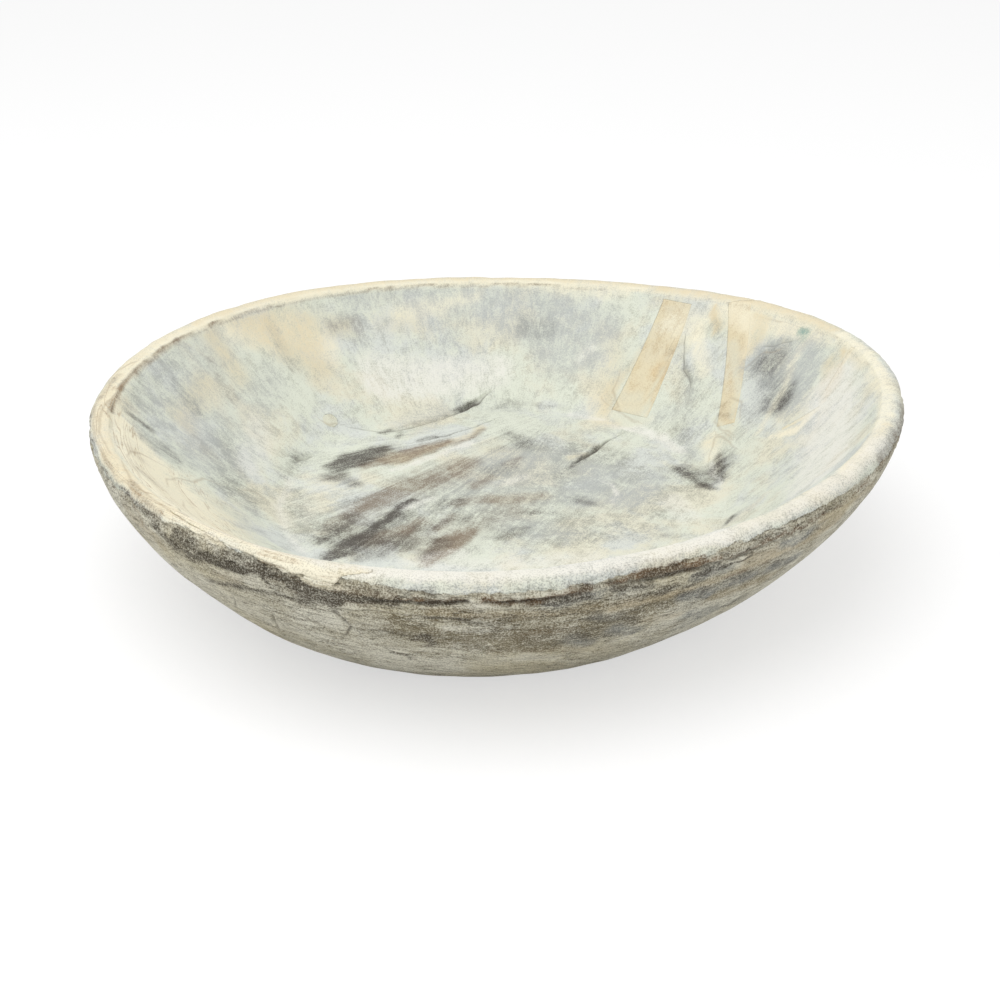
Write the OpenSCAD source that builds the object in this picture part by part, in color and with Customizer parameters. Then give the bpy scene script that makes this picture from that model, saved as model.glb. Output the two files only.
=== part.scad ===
// Whitewashed dough bowl, carved from one block, with its repairs let in.
// Lengths are in millimetres, angles in degrees; +X is right, +Y is back, +Z is up.
// The origin is on the table, under the middle of the rim's outline.

/* [Bowl] */
// Mean diameter across the rim
bowl_d = 406; // [350:1:470]
// Mean height of the rim's crest above the table
rim_h = 92; // [78:1:116]
// How far the rim's two ends rise above its mean height
end_rise = 5; // [0:0.5:8]
// How far the whole rim tips down towards the back
rim_tip = 3.5; // [0:0.5:7]
// How far the hewn rim waves up and down besides
rim_wave = 1.2; // [0:0.2:3]
// Diameter of the flat that the bowl stands on
base_d = 242; // [190:1:260]
// How far that flat lies off the middle, to the left
base_left = 10; // [0:0.5:14]
// How far that flat lies off the middle, to the front
base_front = 7.5; // [0:0.5:12]

/* [Hollow] */
// Diameter of the hollow's floor
floor_d = 235; // [190:1:250]
// Thickness of the wood under the floor's edge
floor_t = 24; // [16:0.5:30]
// How much deeper the floor is at its middle
floor_dish = 2; // [0:0.5:5]
// How far the floor lies off the middle, to the right
floor_right = 2.5; // [0:0.5:12]
// How far the floor lies off the middle, to the back
floor_back = 11; // [0:0.5:15]

/* [Rim] */
// Width of the rim
rim_w = 13; // [10:0.5:17]
// Height of the crest above the rim's widest line
rim_crown = 8; // [5:0.5:11]
// How far the rim's roll reaches below its widest line
roll_drop = 7; // [4:0.5:10]
// How far the roll stands proud of the wall under it
roll_proud = 2; // [1:0.25:3]
// Drop from the crest to the edge of the hollow
edge_drop = 2; // [1:0.5:4]

/* [Left repair strip] */
// Length up the wall
strip_left_len = 76; // [55:1:82]
// Width at its top end
strip_left_top_w = 19; // [12:0.5:26]
// Width at its foot
strip_left_foot_w = 24; // [12:0.5:28]
// Depth let into the wall
strip_left_depth = 7; // [4:0.5:9]

/* [Right repair strip] */
// Length up the wall
strip_right_len = 84; // [60:1:90]
// Width at its top end
strip_right_top_w = 15; // [9:0.5:18]
// Width at its foot
strip_right_foot_w = 12; // [9:0.5:18]
// Depth let into the wall
strip_right_depth = 7; // [4:0.5:9]

/* [Knot plug] */
// Diameter of the plug
plug_d = 9; // [6:0.5:14]
// Depth of its hole
plug_depth = 10; // [5:0.5:12]

/* [Crack filler] */
// Length of each filled stretch
filler_len = 27; // [18:1:34]
// Width of the filled crack at its wide end
filler_w = 4; // [2:0.25:6]
// Depth of the filled crack
filler_depth = 5; // [3:0.5:7]

/* [Rim filler] */
// Thickness of the filler on the chipped rim
rim_filler_t = 1.6; // [1:0.2:3]

/* [Drying checks] */
// Width of an open check at its middle
check_w = 2; // [1:0.25:3]
// Depth of an open check in the floor
check_depth = 3; // [1:0.5:5]

/* [Hidden] */

// Glue line round each piece that is let in
glue_gap = 0.15;
// How far a cut runs past the wood that it cuts
overrun = 12;

// Steps round the bowl, up its outside, over its rim, down its hollow and across its floor
turn_steps = 72;
wall_steps = 8;
roll_steps = 2;
crest_steps = 6;
hollow_steps = 8;
floor_steps = 3;

// Fullness of the two walls, as a share of a straight slope: 2 is a quarter of an ellipse
outer_full_share = 1.3;
hollow_full_share = 1.12;

// The hewn outline: [waves in a turn, height as a share of the radius, angle of the crest]
outline_shares = [[2, 0.016, 36], [3, 0.004, 4], [4, 0.003, -12], [5, 0.0035, -31]];
// The angles at which the rim's rise and its waves are greatest, and the angle that it tips up towards
rise_at = -6;
wave_at = 9;
tip_at = 304;

rim_r = bowl_d / 2;
roll_angle = acos(1 - roll_proud / (rim_w / 2));
belt_h = rim_h - rim_crown;
wall_h = belt_h - roll_drop;
edge_h = rim_h - edge_drop;

function wave(a, i = 0) =
    i == len(outline_shares) ? 0
    : let (w = outline_shares[i]) w[1] * cos(w[0] * (a - w[2])) + wave(a, i + 1);
function outline_r(a) = rim_r * (1 + wave(a));
function rise(a) =
    end_rise * cos(2 * (a - rise_at)) + rim_tip * cos(a - tip_at) + rim_wave * cos(3 * (a - wave_at));
function ray(a, r) = [r * cos(a), r * sin(a)];

// The outline's own middle, which is set over the origin
turn_angles = [for (i = [0 : turn_steps - 1]) 360 * i / turn_steps];
outline_x = [for (a = turn_angles) outline_r(a) * cos(a)];
outline_y = [for (a = turn_angles) outline_r(a) * sin(a)];
middle = [max(outline_x) + min(outline_x), max(outline_y) + min(outline_y)] / 2;

// A wall's path from its foot, s = 0, to its top, s = 1: how far out, and how far up
function out_share(s, full) = pow(sin(90 * s), 2 / full);
function up_share(s, full) = 1 - pow(cos(90 * s), 2 / full);
function blend(foot, top, share) = foot + (top - foot) * share;
function raised(p, z) = [p.x - middle.x, p.y - middle.y, z];

function outside_pt(a, s) =
    let (foot = ray(a, base_d / 2) - [base_left, base_front],
         top = ray(a, outline_r(a) - roll_proud))
    raised(blend(foot, top, out_share(s, outer_full_share)),
           (wall_h + rise(a)) * up_share(s, outer_full_share));

// The rim's section, with angle v from its outer side over the crest to the hollow
function rim_pt(a, v, off = 0) =
    let (r = outline_r(a) - rim_w / 2 + (rim_w / 2 + off) * cos(v),
         low = belt_h + (roll_drop + off) * sin(v) / sin(roll_angle),
         over = belt_h + (rim_crown + off) * sin(v),
         inward = rim_h + off - edge_drop * (1 - sin(v)))
    raised(ray(a, r), rise(a) + (v < 0 ? low : v < 90 ? over : inward));

function hollow_pt(a, s) =
    let (foot = ray(a, floor_d / 2) + [floor_right, floor_back],
         top = ray(a, outline_r(a) - rim_w))
    raised(blend(foot, top, out_share(s, hollow_full_share)),
           blend(floor_t, edge_h + rise(a), up_share(s, hollow_full_share)));

function floor_pt(a, s) =
    raised(ray(a, s * floor_d / 2) + [floor_right, floor_back], floor_t - floor_dish * (1 - s * s));

// One line of points up the outside, over the rim, down the hollow and in to the floor's middle
function section(a) = concat(
    [for (i = [0 : wall_steps]) outside_pt(a, i / wall_steps)],
    [for (i = [1 : roll_steps]) rim_pt(a, -roll_angle * (1 - i / roll_steps))],
    [for (i = [1 : crest_steps - 1]) rim_pt(a, 180 * i / crest_steps)],
    [for (i = [0 : hollow_steps]) hollow_pt(a, 1 - i / hollow_steps)],
    [for (i = [1 : floor_steps - 1]) floor_pt(a, 1 - i / floor_steps)]);

// Triangles between neighbouring lines of points, as each ring joins the next
function ring_faces(rings, n) =
    [for (i = [0 : n - 1], k = [0 : rings - 2], half = [0, 1])
        let (j = (i + 1) % n, p = i * rings + k, q = j * rings + k)
        half == 0 ? [p, p + 1, q] : [q, p + 1, q + 1]];

// The whole block of wood, carved but with nothing let in
module bowl_blank() {
    lines = [for (a = turn_angles) section(a)];
    rings = len(lines[0]);
    points = [for (line = lines) each line];
    base_mid = raised([-base_left, -base_front], 0);
    floor_mid = floor_pt(0, 0);
    under = len(points);
    n = turn_steps;
    polyhedron(
        points = concat(points, [base_mid, floor_mid]),
        faces = concat(
            ring_faces(rings, n),
            [for (i = [0 : n - 1]) [i * rings, (i + 1) % n * rings, under]],
            [for (i = [0 : n - 1]) [(i + 1) % n * rings + rings - 1, i * rings + rings - 1, under + 1]]));
}

function unit(v) = v / norm(v);

// Stands its children on the hollow's wall: X runs up the wall, Y across it, Z out of the wood
module on_wall(a, s, turn = 0) {
    near_share = 0.04;
    at = hollow_pt(a, s);
    up = unit(hollow_pt(a, s + near_share) - hollow_pt(a, s - near_share));
    level = hollow_pt(a + 1, s) - hollow_pt(a - 1, s);
    out = unit(cross(up, level) * (cross(up, level).z > 0 ? 1 : -1));
    side = cross(out, up);
    multmatrix([[up.x, side.x, out.x, at.x], [up.y, side.y, out.y, at.y], [up.z, side.z, out.z, at.z]])
        rotate([0, 0, turn])
            children();
}

// A tapered slab from its own depth in the wood to well above it
module slab(length, foot_w, top_w, depth, gap) {
    x = length / 2 + gap;
    foot = foot_w / 2 + gap;
    top = top_w / 2 + gap;
    translate([0, 0, -depth - gap])
        linear_extrude(height = depth + gap + overrun)
            polygon([[-x, -foot], [x, -top], [x, top], [-x, foot]]);
}

// Places on the wall: the angle round the bowl, the share of the way up, and the angle turned on it
strip_left_angle = 54.5;
strip_left_up_share = 0.51;
strip_left_turn_angle = 4;
strip_right_angle = 36;
strip_right_up_share = 0.58;
strip_right_turn_angle = 37;
plug_angle = 139;
plug_up_share = 0.245;
filler_angles = [10.5, 7.5];
filler_up_shares = [0.78, 0.535];
filler_turn_angles = [22, -25];

module strip_left_cut(gap = 0) {
    on_wall(strip_left_angle, strip_left_up_share, strip_left_turn_angle)
        slab(strip_left_len, strip_left_foot_w, strip_left_top_w, strip_left_depth, gap);
}

module strip_right_cut(gap = 0) {
    on_wall(strip_right_angle, strip_right_up_share, strip_right_turn_angle)
        slab(strip_right_len, strip_right_foot_w, strip_right_top_w, strip_right_depth, gap);
}

module plug_cut(gap = 0) {
    on_wall(plug_angle, plug_up_share)
        translate([0, 0, -plug_depth - gap])
            cylinder(h = plug_depth + gap + overrun, d = plug_d + 2 * gap, $fn = 48);
}

// The crack was filled in two stretches, each a wedge that narrows as it runs down the wall
module filler_cut(gap = 0) {
    for (i = [0 : len(filler_angles) - 1])
        on_wall(filler_angles[i], filler_up_shares[i], filler_turn_angles[i])
            slab(filler_len, filler_w / 2, filler_w, filler_depth, gap);
}

// The chipped lower edge of the rim's filler: its angles round the bowl, and round the rim's section
edge_angles = [224, 229, 233.5, 236, 239.5, 241, 244, 245.5, 246.8, 247.6, 251, 251.6, 255];
edge_section_angles = [86, 74, 66, 54, 50, 43, 37, 23, 30, 22, 17, 46, 78];
filler_crest_angle = 100;
filler_steps = 4;

function filler_line(a, v, inner, outer) = concat(
    [for (i = [0 : filler_steps]) rim_pt(a, blend(v, filler_crest_angle, i / filler_steps), inner)],
    [for (i = [0 : filler_steps]) rim_pt(a, blend(filler_crest_angle, v, i / filler_steps), outer)]);

module rim_filler_cut(gap = 0) {
    lines = [for (i = [0 : len(edge_angles) - 1])
        filler_line(edge_angles[i], edge_section_angles[i], -rim_filler_t - gap, overrun / 4)];
    n = len(lines);
    m = len(lines[0]);
    polyhedron(
        points = [for (line = lines) each line],
        faces = concat(
            [for (i = [0 : n - 2], k = [0 : m - 1], half = [0, 1])
                let (l = (k + 1) % m, p = i * m, q = p + m)
                half == 0 ? [p + k, q + k, p + l] : [p + l, q + k, q + l]],
            [[for (k = [0 : m - 1]) k]],
            [[for (k = [m - 1 : -1 : 0]) (n - 1) * m + k]]));
}

// How far along each open drying check is widest
widest_share = 0.6;
// Open drying checks in the floor: [share across, share back] of each end, from the floor's middle
check_shares = [[[-0.60, 0.71], [-0.16, 0.98]], [[0.26, 0.31], [0.50, 0.57]]];

module checks() {
    mid = floor_pt(0, 0);
    for (ends = check_shares) {
        from = ends[0] * floor_d / 2;
        to = ends[1] * floor_d / 2;
        length = norm(to - from);
        widest = length * widest_share;
        translate([mid.x + from.x, mid.y + from.y, floor_t - floor_dish - check_depth])
            rotate([0, 0, atan2(to.y - from.y, to.x - from.x)])
                linear_extrude(height = check_depth + overrun)
                    polygon([[0, 0], [widest, -check_w / 2], [length, 0], [widest, check_w / 2]]);
    }
}

module bowl_body() {
    color("#cfccb8")
        difference() {
            bowl_blank();
            strip_left_cut(glue_gap);
            strip_right_cut(glue_gap);
            plug_cut(glue_gap);
            filler_cut(glue_gap);
            rim_filler_cut(glue_gap);
            checks();
        }
}

module repair_strip_left() {
    color("#e3cfae")
        intersection() {
            bowl_blank();
            strip_left_cut();
        }
}

module repair_strip_right() {
    color("#e6d3b3")
        intersection() {
            bowl_blank();
            strip_right_cut();
        }
}

module knot_plug() {
    color("#d2c8ae")
        intersection() {
            bowl_blank();
            plug_cut();
        }
}

module crack_filler() {
    color("#ddd2b4")
        intersection() {
            bowl_blank();
            filler_cut();
        }
}

module rim_filler() {
    color("#efe9d6")
        intersection() {
            bowl_blank();
            rim_filler_cut();
        }
}

bowl_body();
repair_strip_left();
repair_strip_right();
knot_plug();
crack_filler();
rim_filler();
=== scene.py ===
import bmesh
import bpy
import math
import numpy as np
from mathutils import Matrix, Vector, noise


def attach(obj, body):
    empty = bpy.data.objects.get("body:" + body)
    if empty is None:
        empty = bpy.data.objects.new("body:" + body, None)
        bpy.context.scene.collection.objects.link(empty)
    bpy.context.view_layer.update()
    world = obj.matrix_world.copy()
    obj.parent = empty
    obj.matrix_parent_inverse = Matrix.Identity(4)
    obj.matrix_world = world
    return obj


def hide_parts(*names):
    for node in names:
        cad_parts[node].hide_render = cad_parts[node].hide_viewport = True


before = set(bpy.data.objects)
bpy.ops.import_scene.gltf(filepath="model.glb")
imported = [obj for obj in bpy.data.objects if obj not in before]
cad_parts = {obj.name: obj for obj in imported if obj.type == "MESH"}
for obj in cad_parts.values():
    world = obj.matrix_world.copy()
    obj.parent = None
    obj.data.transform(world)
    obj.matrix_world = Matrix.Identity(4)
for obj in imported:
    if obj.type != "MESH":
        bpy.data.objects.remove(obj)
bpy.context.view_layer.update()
scene = bpy.context.scene
mm = 0.001  # every size below is in millimetres, and Blender's unit is the metre
noise.seed_set(7)  # without a seed, Blender's noise vectors would change from run to run

# The carved body, with the sizes of the CAD model; angles in degrees from +X
bowl = {
    "rimRadius": 203, "rimHeight": 92,
    "endRise": 5, "endRiseAt": -6, "tip": 3.5, "tipAt": 304, "waver": 1.2, "waverAt": 9,
    "baseRadius": 121, "baseShift": (-10, -7.5),
    "floorRadius": 117.5, "floorShift": (2.5, 11), "floorHeight": 24, "floorDish": 2,
    "rimWidth": 13, "crown": 8, "rollDrop": 7, "rollProud": 2, "edgeDrop": 2,
    "outsideFullness": 1.3, "hollowFullness": 1.12,
    "outlineWaves": ((2, 0.016, 36), (3, 0.004, 4), (4, 0.003, -12), (5, 0.0035, -31)),
    # faces round the bowl, and along each zone of its section
    "columns": 408, "rows": {"base": 4, "outside": 50, "rim": 30, "hollow": 47, "floor": 42},
    # where the faces are finer: between these turns and reaches on the chipped shoulder, and beside cracks
    "fine": {"from": 220, "to": 316, "above": 9.8, "below": 25, "besideCracks": 2.0, "cuts": 2},
}
zones = tuple(bowl["rows"])  # from the middle of the foot over the rim to the middle of the floor


def outlineRadius(turn):
    waves = sum(height * np.cos(np.radians(count * (turn - at)))
                for count, height, at in bowl["outlineWaves"])
    return bowl["rimRadius"] * (1 + waves)


def rimRise(turn):
    return (bowl["endRise"] * np.cos(np.radians(2 * (turn - bowl["endRiseAt"])))
            + bowl["tip"] * np.cos(np.radians(turn - bowl["tipAt"]))
            + bowl["waver"] * np.cos(np.radians(3 * (turn - bowl["waverAt"]))))


def sectionPoint(zone, share, outline, rise, offset=0.0):
    # radius, how much of the foot's shift it keeps, and height, of one point of the section
    foot = bowl["floorRadius"] if zone in ("hollow", "floor") else bowl["baseRadius"]
    belt = bowl["rimHeight"] - bowl["crown"]
    if zone == "base":
        return foot * share, 1 + 0 * share, 0 * share
    if zone == "floor":
        return foot * share, 1 + 0 * share, bowl["floorHeight"] - bowl["floorDish"] * (1 - share ** 2)
    if zone == "rim":
        angle = np.radians(share)
        half = bowl["rimWidth"] / 2
        rollSine = math.sin(math.acos(1 - bowl["rollProud"] / half))
        low = belt + (bowl["rollDrop"] + offset) * np.sin(angle) / rollSine
        over = belt + (bowl["crown"] + offset) * np.sin(angle)
        inward = bowl["rimHeight"] + offset - bowl["edgeDrop"] * (1 - np.sin(angle))
        height = np.where(share < 0, low, np.where(share < 90, over, inward))
        return outline - half + (half + offset) * np.cos(angle), 0 * share, height + rise
    full = bowl["outsideFullness"] if zone == "outside" else bowl["hollowFullness"]
    outward = np.sin(np.radians(90 * share)) ** (2 / full)
    upward = 1 - np.clip(np.cos(np.radians(90 * share)), 0, 1) ** (2 / full)
    if zone == "outside":
        top, low, high = outline - bowl["rollProud"], 0, belt - bowl["rollDrop"] + rise
    else:
        top, low = outline - bowl["rimWidth"], bowl["floorHeight"]
        high = bowl["rimHeight"] - bowl["edgeDrop"] + rise
    return foot + (top - foot) * outward, 1 - outward, low + (high - low) * upward


# The outline is set so that its box lies centred on the origin, as in the CAD model
outlineTurns = np.arange(0, 360, 5.0)
outlineX = outlineRadius(outlineTurns) * np.cos(np.radians(outlineTurns))
outlineY = outlineRadius(outlineTurns) * np.sin(np.radians(outlineTurns))
middle = ((outlineX.max() + outlineX.min()) / 2, (outlineY.max() + outlineY.min()) / 2)


def surfacePoint(zone, share, turn, offset=0.0):
    # points of the bowl's surface in millimetres, one row for each share and turn
    share, turn = np.broadcast_arrays(np.asarray(share, float), np.asarray(turn, float))
    radius, shifted, height = sectionPoint(zone, share, outlineRadius(turn), rimRise(turn), offset)
    shift = bowl["floorShift"] if zone in ("hollow", "floor") else bowl["baseShift"]
    x = radius * np.cos(np.radians(turn)) + shifted * shift[0] - middle[0]
    y = radius * np.sin(np.radians(turn)) + shifted * shift[1] - middle[1]
    return np.stack([x, y, height], axis=-1)


def measureSection():
    # each zone's distance from the hollow's edge and the share that goes with it, measured at the front
    rollAngle = math.degrees(math.acos(1 - 2 * bowl["rollProud"] / bowl["rimWidth"]))
    spans = {"base": (0, 1), "outside": (0, 1), "rim": (-rollAngle, 180), "hollow": (1, 0), "floor": (1, 0)}
    samples = 600
    table, along = {}, 0.0
    for zone in zones:
        share = np.linspace(*spans[zone], samples)
        radius, shifted, height = sectionPoint(zone, share, bowl["rimRadius"], 0.0)
        radius = radius - shifted * bowl["floorShift" if zone in ("hollow", "floor") else "baseShift"][1]
        steps = np.hypot(np.diff(radius), np.diff(height))
        table[zone] = (along + np.concatenate([[0], np.cumsum(steps)]), share)
        along = table[zone][0][-1]
    edge = table["rim"][0][-1]
    return {zone: (edge - length, share) for zone, (length, share) in table.items()}


section = measureSection()  # reach is positive on the rim and the outside, and negative in the hollow


def placeAt(reach, turn):
    # the zone, the share and the place of points at a reach and a turn
    nudge = 0.01  # a point on the edge of two zones belongs to the first
    ends = [-section[zone][0][-1] for zone in zones[:-1]]
    zone = np.array(zones)[np.searchsorted(ends, -reach - nudge)]
    share, points = np.zeros(len(reach)), np.zeros((len(reach), 3))
    for name in zones:
        here = zone == name
        share[here] = np.interp(-reach[here], -section[name][0], section[name][1])
        points[here] = surfacePoint(name, share[here], turn[here])
    return zone, share, points


def turnOf(x, y):
    return np.degrees(np.arctan2(y, x)) % 360


def readPoints(mesh):
    points = np.empty(len(mesh.vertices) * 3, np.float32)
    mesh.attributes["position"].data.foreach_get("vector", points)
    return points.reshape(-1, 3).astype(float)


def readValues(mesh, name):
    values = np.empty(len(mesh.vertices), np.float32)
    mesh.attributes[name].data.foreach_get("value", values)
    return values.astype(float)


def writePoints(mesh, name, values):
    kind, field = ("FLOAT_VECTOR", "vector") if np.ndim(values) > 1 else ("FLOAT", "value")
    layer = mesh.attributes.get(name) or mesh.attributes.new(name, kind, "POINT")
    layer.data.foreach_set(field, np.ascontiguousarray(values, np.float32).ravel())


def writeTurn(mesh, turn):
    # the angle round the bowl is kept as two values that have no seam
    writePoints(mesh, "turnCosine", np.cos(np.radians(turn)))
    writePoints(mesh, "turnSine", np.sin(np.radians(turn)))


def placeInScene(mesh, name):
    obj = bpy.data.objects.new(name, mesh)
    scene.collection.objects.link(obj)
    return obj


# How the marks below are laid. Those of the inside lie over its plan. Those of the rim and the outside lie
# on a map of the wall, with the angle round the bowl one way and the reach the other.
marks = {
    "perDegree": 3.3,  # millimetres round the wall for each degree
    "insideEnds": -3, "endsOver": 3,  # the reach where the inside's marks give way to the rim's
    "openWider": 1.7,  # the outside's thin lines are this much wider than listed
    "sunk": 3, "sunkFrom": 14, "sunkOver": 6,  # the outside's marks lie lower, where it is hewn back
    "stainWaver": ((16, 1.8), (5, 1.4)),  # size and swing of the waver in the edges of stains
    "lineWaver": (6, 0.9, 4),  # the same for thin lines, with a shift that sets it apart
    "farthest": 8.0, "closeBy": 5,  # how far from a thin line its distance and its width reach
}

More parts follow.
